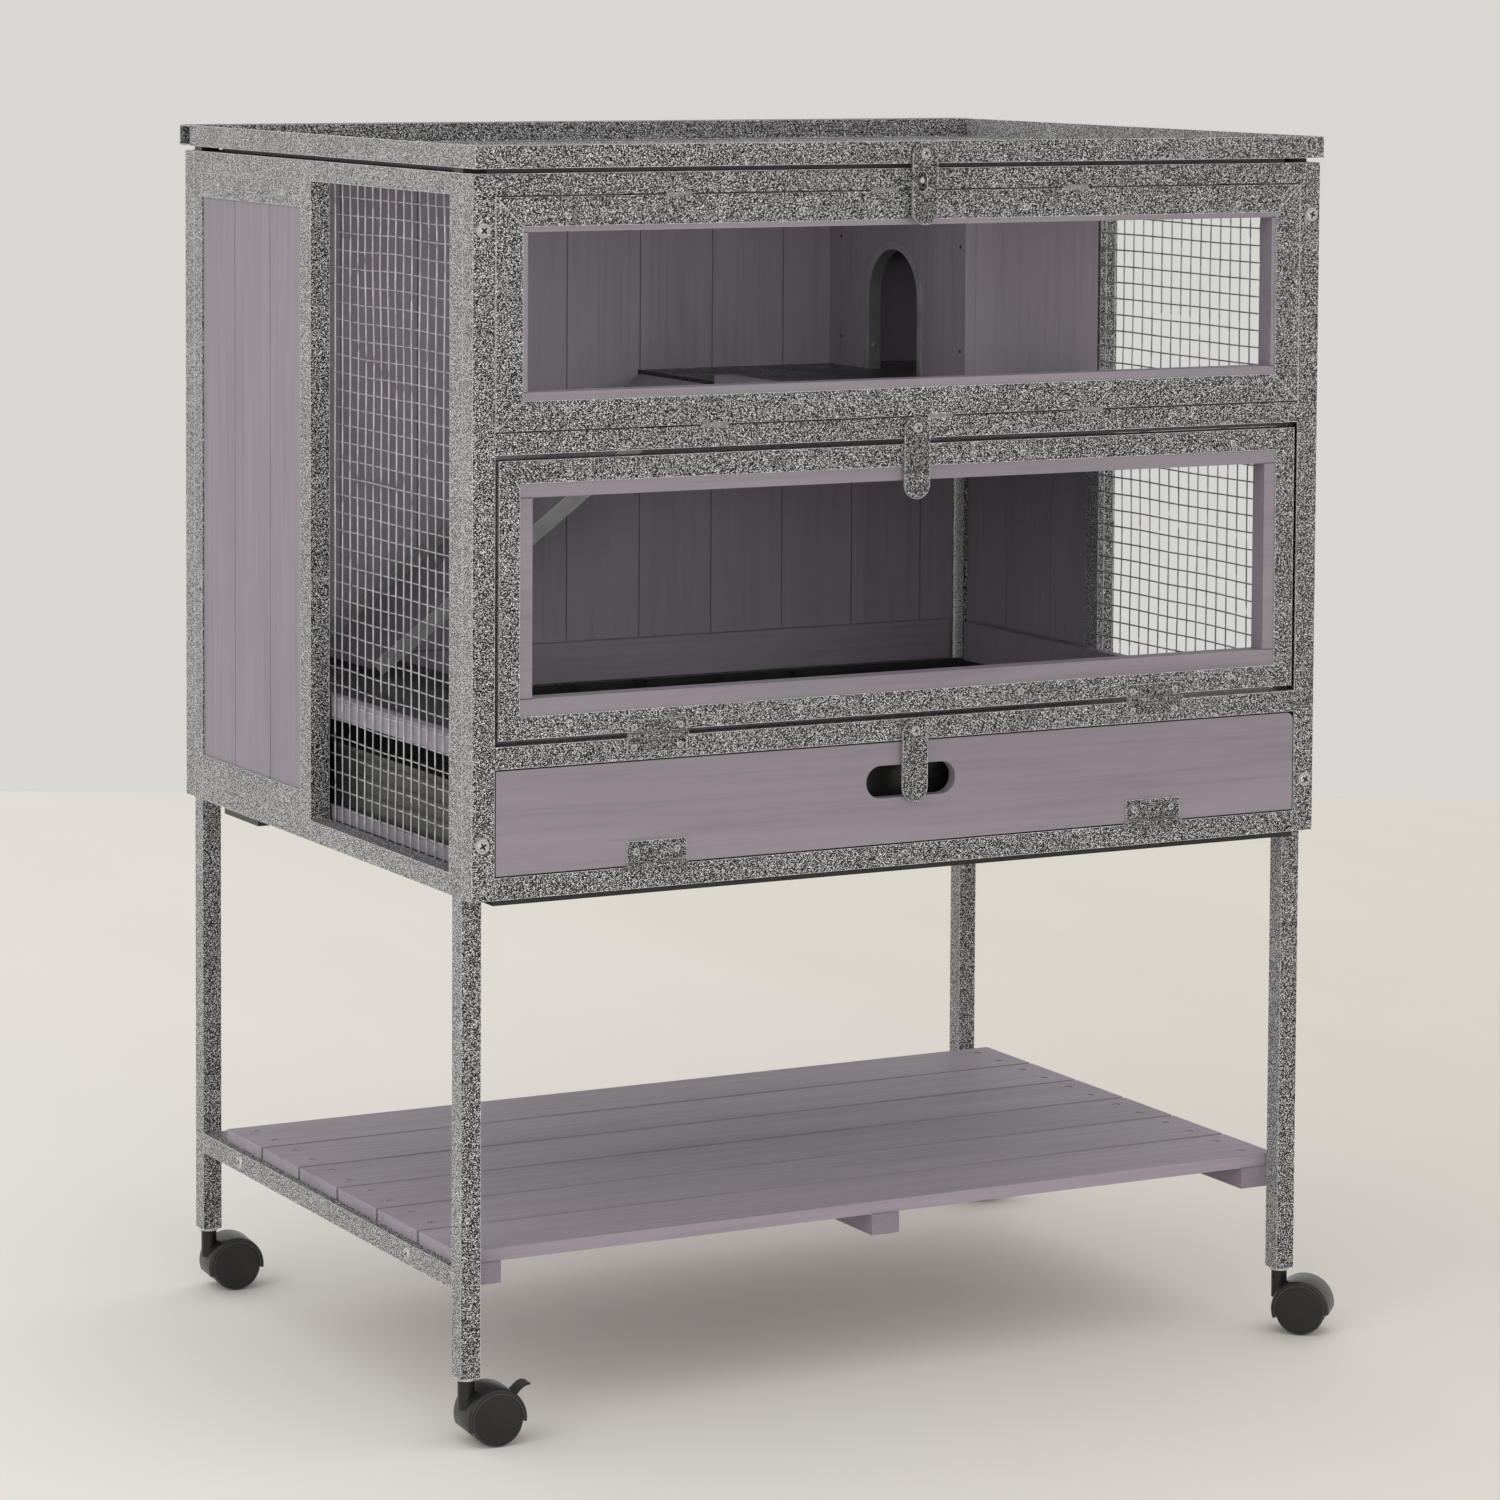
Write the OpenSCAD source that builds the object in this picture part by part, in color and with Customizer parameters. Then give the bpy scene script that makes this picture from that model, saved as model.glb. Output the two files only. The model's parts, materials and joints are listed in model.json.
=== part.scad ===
// Two-storey rabbit hutch on a steel stand with a shelf and four castors.
// X runs across the front, Y from the front to the back and Z up from the floor.
// The modules work from the cabinet's lower left front corner line. placed() then moves
// every piece so that the origin is under the middle of the whole object.

/* [Cabinet] */
// Width over the two side frames
body_w = 914; // [800:2:1060]
// Depth from the front face to the back face
body_d = 696; // [640:2:780]
// Height from the bottom rail to the top rail
body_h = 660; // [630:2:720]
// Height of the cabinet's underside above the floor
stand_h = 508; // [420:2:600]
// Height of the opening behind the flap
flap_open_h = 99; // [90:1:110]
// Height of the opening behind the door
door_open_h = 265.5; // [240:0.5:280]

/* [Steel frames] */
// Size of the square tube of the legs and side rails
tube = 20; // [18:1:24]
// Wall of every tube
tube_wall = 1.2; // [1:0.1:2]
// Thickness of the sheet that the angle frames are folded from
sheet = 1.5; // [1:0.1:2]
// Height of each horizontal rail of the front and back frames
rail_h = 20.5; // [18:0.5:22]
// Width of the upright stiles of the front and back frames
stile_w = 22.5; // [20:0.5:26]
// Depth of the front frame
front_d = 22.5; // [20:0.5:26]
// Depth of the back frame
back_d = 24; // [20:1:28]
// Distance from the front face to the side frame's middle stile
mid_stile_y = 372; // [340:2:380]
// Width of the side frame's middle stile
mid_stile_w = 25; // [20:1:28]
// Width of the flange beside the front leg that the mesh is fixed to
leg_flange = 7.5; // [5:0.5:10]

/* [Wire mesh] */
// Thickness of a mesh wire
wire_d = 1.6; // [1.2:0.1:2.2]
// Distance between upright wires
wire_pitch_y = 18; // [14:0.5:24]
// Distance between level wires
wire_pitch_z = 16.9; // [14:0.1:24]
// How far a wire laps over the steel around the mesh
wire_lap = 8; // [6:0.5:12]

/* [Boards] */
// Thickness of the wall boards
board_t = 12; // [10:1:14]
// Width of a full side wall board
side_board_w = 91.2; // [80:0.2:110]
// Width of the side wall board next to the middle stile
side_board_first = 80; // [60:1:90]
// How far the side boards stand back from the outer face
side_board_set = 2; // [1:0.5:4]
// Height of the steel strips over the ends of the side boards
strip_h = 26.5; // [20:0.5:32]
// Width of a back wall board
back_board_w = 86; // [70:1:110]
// Thickness of the back wall boards
back_board_t = 12; // [10:1:18]
// Gap between two boards
board_gap = 0.8; // [0.4:0.1:1.5]

/* [Window] */
// Width of the window's steel bars
window_bar = 27; // [24:0.5:30]
// Depth of the window's and the door's steel frames
sash_d = 20; // [16:1:22]
// Visible width of the window's wooden lip
window_lip = 5; // [4:0.5:12]
// Extra width of the bottom lip, a small sill
window_sill = 3; // [0:0.5:8]
// Depth of the wooden lips of the window and the door
lip_d = 22; // [18:1:26]
// Thickness of the clear panes
pane_t = 2.5; // [2:0.5:4]
// How deep a pane sits in its wooden lip
pane_rebate = 3; // [2:0.5:3.5]

/* [Door and flap] */
// Width of the door's steel bars
door_bar = 21; // [18:0.5:26]
// Gap beside the door
door_gap_x = 4; // [2:0.5:6]
// Gap above and below the door
door_gap_z = 5.5; // [4:0.5:7]
// Visible width of the door's wooden lip
door_lip = 13; // [8:0.5:20]
// Thickness of the flap board
flap_t = 12; // [10:1:15]
// Gap around the flap
flap_gap = 1.5; // [1.5:0.1:3]
// Length of the finger slot in the flap
slot_l = 97; // [80:1:120]
// Height of the finger slot
slot_h = 31; // [24:1:36]
// Height of the slot's centre above the flap opening's lower edge
slot_z = 60.5; // [50:0.5:64]

/* [Hinges] */
// Width of a hinge
hinge_w = 61; // [50:1:80]
// Distance between the two hinges of a pair
hinge_span = 540; // [440:10:640]
// Diameter of a hinge knuckle
knuckle_d = 6; // [5:0.5:7]
// Diameter of a hinge pin
hinge_pin_d = 3; // [2:0.1:3.4]
// Thickness of a hinge leaf
leaf_t = 1.2; // [0.8:0.1:1.5]
// Height of the door's hinge leaves, from the pin
door_leaf_h = 15.5; // [12:0.5:17]
// Height of the flap's and roof's hinge leaves, from the pin
flap_leaf_h = 23; // [18:0.5:26]

/* [Turn latches] */
// Width of a latch plate
latch_w = 27; // [22:1:32]
// Length of a latch plate
latch_l = 78; // [70:1:84]
// Thickness of a latch plate
latch_t = 2.5; // [2:0.5:3]
// Distance from a latch plate's pivot to its upper end
latch_top = 10.5; // [9:0.5:12]
// Space between a latch plate and the face behind it
latch_stand = 2; // [1:0.5:3]
// Diameter of a latch pivot
latch_pin_d = 5; // [4:0.5:6]
// Distance from the cabinet's left side to the latches
latch_x = 459; // [420:1:490]
// Diameter of the pin that the roof hook holds
catch_pin_d = 5; // [4:0.5:6]

/* [Roof] */
// Height of the roof rim
rim_h = 21; // [18:1:28]
// Gap between the cabinet and the roof rim
rim_gap = 4.6; // [4.6:0.1:7]
// Overhang of the roof at the front
rim_front = 5.8; // [4:0.1:10]
// Overhang of the roof at the back
rim_back = 14.2; // [12:0.1:20]
// Overhang of the roof at each side
rim_side = 0.4; // [0.4:0.1:4]
// Depth of the tube along the back of the roof
rim_tube_d = 29; // [26:1:34]
// Width of the flange inside the rim that carries the roof board
rim_flange = 32; // [30:1:50]
// Thickness of the roof board
roof_board_t = 12; // [9:1:15]
// Gap between the roof board and the cabinet around it
roof_board_gap = 2; // [1:0.5:4]

/* [Upper floor and nest box] */
// Distance from the left side to the upper floor's free edge
floor_x = 498; // [470:1:520]
// Thickness of the upper floor
floor_t = 8; // [6:1:10]
// How far the upper floor's top lies below the cross rail's upper edge
floor_drop = 3; // [2:0.5:6]
// Width of the guard beam along the floor's free edge
beam_w = 18; // [14:1:24]
// Height of the guard beam
beam_h = 31; // [26:1:40]
// Height of the guard beam's top above the floor
beam_up = 7; // [4:1:12]
// Distance from the left side to the nest box's side wall
nest_x = 730; // [700:2:760]
// Height of the nest box walls
nest_h = 214; // [180:1:214]
// Thickness of the nest box walls
nest_t = 12.5; // [9:0.5:15]
// Width of the arched doorway
arch_w = 104; // [90:1:120]
// Height of the arched doorway
arch_h = 131; // [110:1:150]
// Distance from the front face to the doorway's centre
arch_y = 520; // [500:1:530]
// Width of the metal trim around the doorway
arch_trim_w = 7; // [5:0.5:9]

/* [Ramp] */
// Width of the ramp over its side rails
ramp_w = 164; // [150:2:190]
// Distance from the left side to the foot of the ramp
ramp_foot_x = 126; // [100:1:150]
// Gap between the ramp and the back wall
ramp_back_gap = 10; // [2:1:16]
// Height of the ramp's side rails
ramp_rail_h = 16; // [12:0.5:22]
// Thickness of the ramp board
ramp_board_t = 4; // [3:0.5:10]
// How far the side rails stop short of the ramp's upper end
ramp_rail_short = 27; // [10:1:40]

/* [Lower level] */
// Width of the wooden floor rails
floor_rail_w = 22; // [18:1:26]
// Height of the wooden floor rails
floor_rail_h = 20; // [18:1:24]
// Distance from the left side to the landing plate's free edge
landing_x = 190; // [160:2:220]
// Depth of the landing plate's seat in the rail
landing_t = 8; // [6:1:9]
// Top of the waste tray above the flap opening's lower edge
tray_top = 75.5; // [66:0.5:76]
// Height of the waste tray
tray_h = 63; // [50:1:63]
// Wall of the waste tray
tray_wall = 3; // [2:0.5:4]
// Width of the rim around the waste tray
tray_rim = 4.5; // [4:0.5:8]
// Height of the skirting board above the waste tray
skirt_h = 42; // [36:1:46]
// Thickness of the bottom board
bottom_t = 5; // [4:0.5:8]

/* [Shelf] */
// Height of the shelf's top above the floor
shelf_top = 175.7; // [150:0.1:260]
// Number of shelf planks
plank_count = 6; // [5:1:6]
// Width of a plank
plank_w = 90; // [80:1:90]
// Gap between two planks
plank_gap = 4.7; // [3:0.1:6]
// Thickness of a plank
plank_t = 12; // [10:1:16]
// How far the planks stay inside the cabinet's sides
plank_inset = 9; // [4:1:16]
// Width of the battens under the planks
batten_w = 30; // [24:1:40]

/* [Castors] */
// Diameter of the wheels
wheel_d = 50; // [44:1:54]
// Width of one wheel
wheel_w = 18.6; // [16:0.2:19]
// Outer diameter of the hood
hood_d = 59; // [58:1:62]
// Width of the hood
hood_w = 47; // [46:1:50]
// Wall of the hood
hood_wall = 2.2; // [1.5:0.1:2.2]
// Distance from the stem to the axle
trail = 24; // [22:0.5:25]
// Diameter of the neck around the stem
neck_d = 15.5; // [15:0.5:18]
// Diameter of the stem
stem_d = 8; // [6:0.5:8]
// Diameter of the axle
axle_d = 5; // [4:0.5:6]
// Height of the legs' lower ends above the floor
leg_end = 63; // [62:0.5:68]
// Thickness of the washer between neck and leg
washer_t = 2.5; // [2:0.1:3]
// Running clearance of every pin in its bore, on the radius
run_fit = 0.1; // [0.05:0.01:0.1]

/* [Hidden] */

steel = "#8c8c90";
smooth_steel = "#9a9a9e";
zinc = "#c4c6c8";
wood = "#8e858e";
black = "#26262a";
clear = "#c8d4dc";

// Levels of the cabinet, measured from the floor
z_bottom = stand_h;
z_top = stand_h + body_h;
z_flap0 = z_bottom + rail_h;
z_flap1 = z_flap0 + flap_open_h;
z_door0 = z_flap1 + rail_h;
z_door1 = z_door0 + door_open_h;
z_window0 = z_door1 + rail_h;
z_window1 = z_top - rail_h;
z_floor = z_window0 - floor_drop;

// Places across the depth
y_side0 = front_d;
y_side1 = body_d - back_d;
y_back_leg = y_side1 - tube;
y_back_wall = y_side1 - back_board_t;
ramp_y1 = y_back_wall - ramp_back_gap;
ramp_y0 = ramp_y1 - ramp_w;
y_boards0 = mid_stile_y + mid_stile_w;

// Inner faces of the mesh on the left and right
mesh_x = tube + 2 * wire_d + 0.02;

// Width and depth of the visible seams between joined frames
seam = 0.6;
seam_deep = 0.8;

// Castor positions and the way each one trails, in degrees from +X
leg_x = tube / 2;
leg_y = [y_side0 + tube / 2, y_side1 - tube / 2];
trail_front_left = -4;
trail_back_left = -6;
trail_front_right = -43;
trail_back_right = -52;

// How far a castor reaches beyond its stem along a direction at the given angle
function castor_reach(angle) =
  (trail + hood_d / 2) * cos(angle) + hood_w / 2 * sin(angle);
reach_right = body_w - leg_x + castor_reach(-trail_front_right);
reach_front = leg_y[0] - castor_reach(90 + trail_front_right);
x_mid = (reach_right - rim_side) / 2;
y_mid = (body_d + rim_back + reach_front) / 2;

// Hinge lines
hinge_x = [(body_w - hinge_span) / 2, (body_w + hinge_span) / 2];
door_hinge_z = z_door0 + 1.5;
flap_hinge_z = z_flap0 + 0.75;
roof_leaf_space = 0.8;
roof_hinge_y = body_d + knuckle_d / 2;
roof_hinge_z = z_top + rim_gap - roof_leaf_space - knuckle_d / 2;

// Latch pivots
roof_latch_z = z_top + rim_gap + rim_h / 2 - 1;
door_latch_z = z_door1 + rail_h / 2;
flap_latch_z = z_flap1 + rail_h / 2 - 1.5;
catch_pin_drop = 25.4;
catch_pin_dx = -4.5;

module placed() {
  translate([-x_mid, -y_mid, 0]) children();
}

// Mirrors its children to the right side of the cabinet when right is true
module on_side(right) {
  translate([right ? body_w : 0, 0, 0])
    mirror([right ? 1 : 0, 0, 0])
      children();
}

module box(low, high) {
  translate(low) cube(high - low);
}

// ---------------------------------------------------------------- side frames

// The members of a side frame as [low y, low z, high y, high z]
side_members = [
  [y_side0, leg_end, y_side0 + tube, z_top],
  [y_back_leg, leg_end, y_side1, z_top],
  [mid_stile_y, z_bottom, y_boards0, z_top],
  [y_side0, z_bottom, y_side1, z_bottom + tube],
  [y_side0, z_top - tube, y_side1, z_top]
];

// Bores of the members: they run into each other, and out at both ends of the legs
side_bores = [
  [y_side0, leg_end - tube, y_side0 + tube, z_top + tube],
  [y_back_leg, leg_end - tube, y_side1, z_top + tube],
  [mid_stile_y, z_bottom, y_boards0, z_top],
  [y_side0, z_bottom, y_side1, z_bottom + tube],
  [y_side0, z_top - tube, y_side1, z_top]
];

module side_frame(right) {
  placed() on_side(right) color(smooth_steel) {
    difference() {
      for (m = side_members) {
        box([0, m[0], m[1]], [tube, m[2], m[3]]);
      }
      for (b = side_bores) {
        box([tube_wall, b[0] + tube_wall, b[1] + tube_wall],
            [tube - tube_wall, b[2] - tube_wall, b[3] - tube_wall]);
      }
    }
    box([0, y_side0 + tube, z_bottom + tube], [sheet, y_side0 + tube + leg_flange, z_top - tube]);
  }
}

module left_side_frame() side_frame(false);
module right_side_frame() side_frame(true);

// ---------------------------------------------------------------- wire mesh

mesh_y0 = y_side0 + tube;
mesh_z0 = z_bottom + tube;
mesh_z1 = z_top - tube;
uprights = floor((mid_stile_y - mesh_y0) / wire_pitch_y);
levels = floor((mesh_z1 - mesh_z0) / wire_pitch_z);
upright_0 = (mesh_y0 + mid_stile_y - (uprights - 1) * wire_pitch_y) / 2;
level_0 = (mesh_z0 + mesh_z1 - (levels - 1) * wire_pitch_z) / 2;

module wire(length) {
  rotate([0, 0, 22.5]) cylinder(h = length, r = wire_d / 2 / cos(22.5), $fn = 8);
}

module mesh_panel(right) {
  placed() on_side(right) color(zinc) {
    for (i = [0 : uprights - 1]) {
      translate([tube + wire_d / 2, upright_0 + i * wire_pitch_y, mesh_z0 - wire_lap])
        wire(mesh_z1 - mesh_z0 + 2 * wire_lap);
    }
    for (i = [0 : levels - 1]) {
      translate([mesh_x - wire_d / 2, mesh_y0 - wire_lap, level_0 + i * wire_pitch_z])
        rotate([-90, 0, 0])
          wire(mid_stile_y - mesh_y0 + 2 * wire_lap);
    }
  }
}

module left_mesh() mesh_panel(false);
module right_mesh() mesh_panel(true);

// ---------------------------------------------------------------- side boards

side_board_y0 = [for (y = y_boards0, i = 0; y < y_back_leg - 10; i = i + 1,
  y = y_boards0 + side_board_first + (i - 1) * side_board_w) y];

module side_boards() {
  placed() color(wood)
    for (right = [false, true], i = [0 : len(side_board_y0) - 1]) {
      y0 = side_board_y0[i] + (i == 0 ? 0 : board_gap);
      y1 = i + 1 < len(side_board_y0) ? side_board_y0[i + 1] : y_back_leg;
      on_side(right)
        box([side_board_set, y0, z_bottom + tube], [side_board_set + board_t, y1, z_top - tube]);
    }
}

strip_screw_in = 45;
strip_screw_d = 6.5;
strip_screw_h = 1.6;

module board_strips() {
  placed() color(smooth_steel)
    for (right = [false, true], z0 = [z_bottom + tube, z_top - tube - strip_h]) {
      on_side(right) {
        box([0, y_boards0 + seam, z0 + seam],
            [side_board_set, y_back_leg - seam, z0 + strip_h - seam]);
        for (y = [y_boards0 + strip_screw_in, y_back_leg - strip_screw_in]) {
          translate([0, y, z0 + strip_h / 2])
            rotate([0, -90, 0])
              dome_screw(strip_screw_d, strip_screw_h);
        }
      }
    }
}

// A low domed screw head with a cross slot, standing on z = 0
module dome_screw(d, h) {
  difference() {
    intersection() {
      cylinder(h = h, d = d, $fn = 32);
      translate([0, 0, h - d]) sphere(r = d, $fn = 48);
    }
    for (a = [0, 90]) {
      rotate([0, 0, a]) translate([-d * 0.3, -d * 0.06, h * 0.45]) cube([d * 0.6, d * 0.12, h]);
    }
  }
}

// ---------------------------------------------------------------- front frame

front_openings = [[z_flap0, z_flap1], [z_door0, z_door1], [z_window0, z_window1]];

module front_frame() {
  placed() color(steel) {
    difference() {
      box([0, 0, z_bottom], [body_w, front_d, z_top]);
      box([sheet, sheet, z_bottom + sheet], [body_w - sheet, front_d + 1, z_top - sheet]);
      for (o = front_openings) {
        box([stile_w, -1, o[0]], [body_w - stile_w, front_d, o[1]]);
      }
      for (right = [false, true]) {
        on_side(right)
          box([-1, front_d - seam, z_bottom - 1], [seam_deep, front_d + 1, z_top + 1]);
      }
    }
    for (o = front_openings) {
      box([sheet, sheet, o[0] - sheet], [body_w - sheet, front_d, o[0]]);
      box([sheet, sheet, o[1]], [body_w - sheet, front_d, o[1] + sheet]);
    }
  }
}

// ---------------------------------------------------------------- window

// A frame folded from sheet, open at the back: low and high corner of its face,
// the widths of its four bars [left, bottom, right, top] and its depth
module channel_frame(low, high, bars, depth) {
  inner_low = low + [bars[0], bars[1]];
  inner_high = high - [bars[2], bars[3]];
  difference() {
    box([low[0], 0, low[1]], [high[0], depth, high[1]]);
    box([low[0] + sheet, sheet, low[1] + sheet], [high[0] - sheet, depth + 1, high[1] - sheet]);
    box([inner_low[0], -1, inner_low[1]], [inner_high[0], depth, inner_high[1]]);
  }
  difference() {
    box([inner_low[0] - sheet, 0, inner_low[1] - sheet],
        [inner_high[0] + sheet, depth, inner_high[1] + sheet]);
    box([inner_low[0], -1, inner_low[1]], [inner_high[0], depth + 1, inner_high[1]]);
  }
}

// A shallow groove along a mitre, from a corner towards the inside
module mitre_groove(corner, toward, length) {
  translate([corner[0], 0, corner[1]])
    rotate([0, -atan2(toward[1], toward[0]), 0])
      translate([-1, -1, -0.25])
        cube([length + 2, 1.4, 0.5]);
}

window_low = [stile_w + seam, z_window0 + seam];
window_high = [body_w - stile_w - seam, z_window1 - seam];
weld_x = [0.245, 0.71];

module window_frame() {
  bars = [window_bar, window_bar, window_bar, window_bar];
  placed() color(steel) {
    difference() {
      channel_frame(window_low, window_high, bars, sash_d);
      for (sx = [0, 1], sz = [0, 1]) {
        mitre_groove([sx ? window_high[0] : window_low[0], sz ? window_high[1] : window_low[1]],
                     [sx ? -1 : 1, sz ? -1 : 1], window_bar * sqrt(2));
      }
    }
    for (share = weld_x, z = [z_window0, z_window1 - seam]) {
      box([share * body_w - 9, 0, z], [share * body_w + 9, sheet, z + seam]);
    }
  }
}

// A wooden lip around an opening, with a rebate at the back for the pane
module glazing_lip(low, high, lip, sill, y0) {
  inner_low = low + [lip, lip + sill];
  inner_high = high - [lip, lip];
  difference() {
    box([low[0], y0, low[1]], [high[0], y0 + lip_d, high[1]]);
    box([inner_low[0], y0 - 1, inner_low[1]], [inner_high[0], y0 + lip_d + 1, inner_high[1]]);
    box([inner_low[0] - pane_rebate, y0 + lip_d - pane_t, inner_low[1] - pane_rebate],
        [inner_high[0] + pane_rebate, y0 + lip_d + 1, inner_high[1] + pane_rebate]);
  }
}

// The clear pane that lies in the rebate of such a lip
module glazing_pane(low, high, lip, sill, y0) {
  play = 0.3;
  reach = pane_rebate - play;
  box([low[0] + lip - reach, y0 + lip_d - pane_t, low[1] + lip + sill - reach],
      [high[0] - lip + reach, y0 + lip_d, high[1] - lip + reach]);
}

lip_y = 1;
window_in_low = window_low + [window_bar, window_bar];
window_in_high = window_high - [window_bar, window_bar];

module window_lip_frame() {
  placed() color(wood) glazing_lip(window_in_low, window_in_high, window_lip, window_sill, lip_y);
}

module window_pane() {
  placed() color(clear, 0.35)
    glazing_pane(window_in_low, window_in_high, window_lip, window_sill, lip_y);
}

// ---------------------------------------------------------------- back wall

module back_frame() {
  placed() color(steel) {
    difference() {
      box([0, y_side1, z_bottom], [body_w, body_d, z_top]);
      box([sheet, y_side1 - 1, z_bottom + sheet], [body_w - sheet, body_d - sheet, z_top - sheet]);
      for (z = [[z_bottom + rail_h, z_door1], [z_window0, z_top - rail_h]]) {
        box([stile_w, y_side1, z[0]], [body_w - stile_w, body_d + 1, z[1]]);
      }
      for (right = [false, true]) {
        on_side(right)
          box([-1, y_side1 - 1, z_bottom - 1], [seam_deep, y_side1 + seam, z_top + 1]);
      }
    }
    for (z = [z_door1, z_window0 - sheet]) {
      box([sheet, y_side1, z], [body_w - sheet, body_d - sheet, z + sheet]);
    }
  }
}

skirt_z0 = z_flap0 + tray_top;
skirt_z1 = skirt_z0 + skirt_h;
back_board_count = ceil((body_w - 2 * tube) / back_board_w);
back_board_x0 = body_w / 2 - back_board_w * (back_board_count / 2);
back_board_side_gap = 8;

module back_boards() {
  placed() color(wood)
    for (i = [0 : back_board_count - 1]) {
      x0 = max(tube + back_board_side_gap, back_board_x0 + i * back_board_w + board_gap);
      x1 = min(body_w - tube - back_board_side_gap, back_board_x0 + (i + 1) * back_board_w);
      box([x0, y_back_wall, z_bottom], [x1, y_side1, z_top]);
    }
}

// How far the back and the right skirting board stop short of the corner post
skirt_short = [15, 25];

// Skirting boards along the back and right walls, above the waste tray
module skirting_boards() {
  y1 = y_back_wall - board_t;
  placed() color(wood) {
    box([mesh_x, y1, skirt_z0], [body_w - mesh_x - skirt_short[0], y_back_wall, skirt_z1]);
    box([body_w - mesh_x - board_t, y_side0, skirt_z0],
        [body_w - mesh_x, y1 - skirt_short[1], skirt_z1]);
  }
}

// ---------------------------------------------------------------- lower level

floor_rail_z1 = z_door0;
floor_rail_z0 = floor_rail_z1 - floor_rail_h;
landing_seat = 10;
landing_play = 0.3;
landing_front = 50;

module floor_rails() {
  y1 = y_back_wall - board_t;
  placed() color(wood) {
    difference() {
      box([mesh_x, y_side0, floor_rail_z0], [mesh_x + floor_rail_w, y1, floor_rail_z1]);
      box([mesh_x + floor_rail_w - landing_seat, landing_front, floor_rail_z1 - landing_t],
          [mesh_x + floor_rail_w + 1, y1 + 1, floor_rail_z1 + 1]);
    }
    box([mesh_x + floor_rail_w, y_side0, floor_rail_z0],
        [body_w - mesh_x - board_t, y_side0 + floor_rail_w, floor_rail_z1]);
    box([landing_x - board_t, y_side0 + floor_rail_w, floor_rail_z0],
        [landing_x, y1, floor_rail_z1 - landing_t]);
  }
}

module landing_plate() {
  placed() color(black)
    box([mesh_x + floor_rail_w - landing_seat + landing_play, landing_front + landing_play,
         floor_rail_z1 - landing_t],
        [landing_x, y_back_wall - board_t - landing_play, floor_rail_z1]);
}

tray_side = 1.3;
tray_front = y_side0 + 3.5;
tray_back = y_back_wall - board_t - 5;
tray_z1 = z_flap0 + tray_top;
tray_z0 = tray_z1 - tray_h;

module waste_tray() {
  x0 = mesh_x + tray_side;
  x1 = body_w - mesh_x - tray_side;
  placed() color(black) difference() {
    union() {
      box([x0 + tray_rim, tray_front + tray_rim, tray_z0],
          [x1 - tray_rim, tray_back - tray_rim, tray_z1]);
      box([x0, tray_front, tray_z1 - tray_wall], [x1, tray_back, tray_z1]);
      box([x0, tray_front, tray_z1 - 3 * tray_wall],
          [x1, tray_front + tray_wall, tray_z1]);
    }
    box([x0 + tray_rim + tray_wall, tray_front + tray_rim + tray_wall, tray_z0 + tray_wall],
        [x1 - tray_rim - tray_wall, tray_back - tray_rim - tray_wall, tray_z1 + 1]);
  }
}

runner_w = 18;

module tray_runners() {
  placed() color(wood)
    for (right = [false, true]) {
      on_side(right)
        box([mesh_x, y_side0, z_bottom + tube], [mesh_x + runner_w, y_back_wall, tray_z0]);
    }
}

bottom_tab = 88;
bottom_tab_y = 512;

// Thin board under the cabinet, with a tab under each side rail
module bottom_board() {
  placed() color(black) {
    box([tube + 2, 2, z_bottom - bottom_t], [body_w - tube - 2, body_d - 2, z_bottom]);
    for (right = [false, true]) {
      on_side(right)
        box([3, bottom_tab_y, z_bottom - bottom_t - 2],
            [tube + 2, bottom_tab_y + bottom_tab, z_bottom]);
    }
  }
}

// ---------------------------------------------------------------- upper floor

beam_y1 = ramp_y0 - 1;
ledge_w = 15;

module upper_floor() {
  placed() color(black) difference() {
    box([floor_x, y_side0, z_floor - floor_t], [body_w - mesh_x, y_back_wall, z_floor]);
    box([floor_x - 1, y_side0 - 1, z_floor - floor_t - 1],
        [floor_x + beam_w, beam_y1, z_floor + 1]);
  }
}

module floor_ledges() {
  z1 = z_floor - floor_t;
  z0 = z1 - ledge_w;
  x1 = body_w - mesh_x;
  placed() color(wood) {
    box([floor_x + beam_w, y_side0, z0], [x1, y_side0 + ledge_w, z1]);
    box([floor_x, y_back_wall - ledge_w, z0], [x1, y_back_wall, z1]);
    box([x1 - ledge_w, y_side0 + ledge_w, z0], [x1, y_back_wall - ledge_w, z1]);
    box([floor_x, beam_y1, z0], [floor_x + beam_w, y_back_wall - ledge_w, z1]);
  }
}

module guard_beam() {
  z1 = z_floor + beam_up;
  placed() color(wood) box([floor_x, y_side0, z1 - beam_h], [floor_x + beam_w, beam_y1, z1]);
}

// ---------------------------------------------------------------- nest box

nest_y0 = mid_stile_y;
nest_z1 = min(z_floor + nest_h, z_top - rail_h);

// An arched opening from the floor up, along X, at the doorway's centre
module arch(width, height, x0, x1) {
  r = width / 2;
  translate([x0, arch_y, z_floor + height - r])
    rotate([0, 90, 0])
      cylinder(h = x1 - x0, r = r, $fn = 96);
  box([x0, arch_y - r, z_floor - 1], [x1, arch_y + r, z_floor + height - r]);
}

module nest_side_wall() {
  placed() color(wood) difference() {
    box([nest_x, nest_y0, z_floor], [nest_x + nest_t, y_back_wall, nest_z1]);
    arch(arch_w, arch_h, nest_x - 1, nest_x + nest_t + 1);
  }
}

module nest_front_wall() {
  placed() color(wood)
    box([nest_x + nest_t, nest_y0, z_floor], [body_w - mesh_x, nest_y0 + nest_t, nest_z1]);
}

arch_lining = 1;

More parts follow.
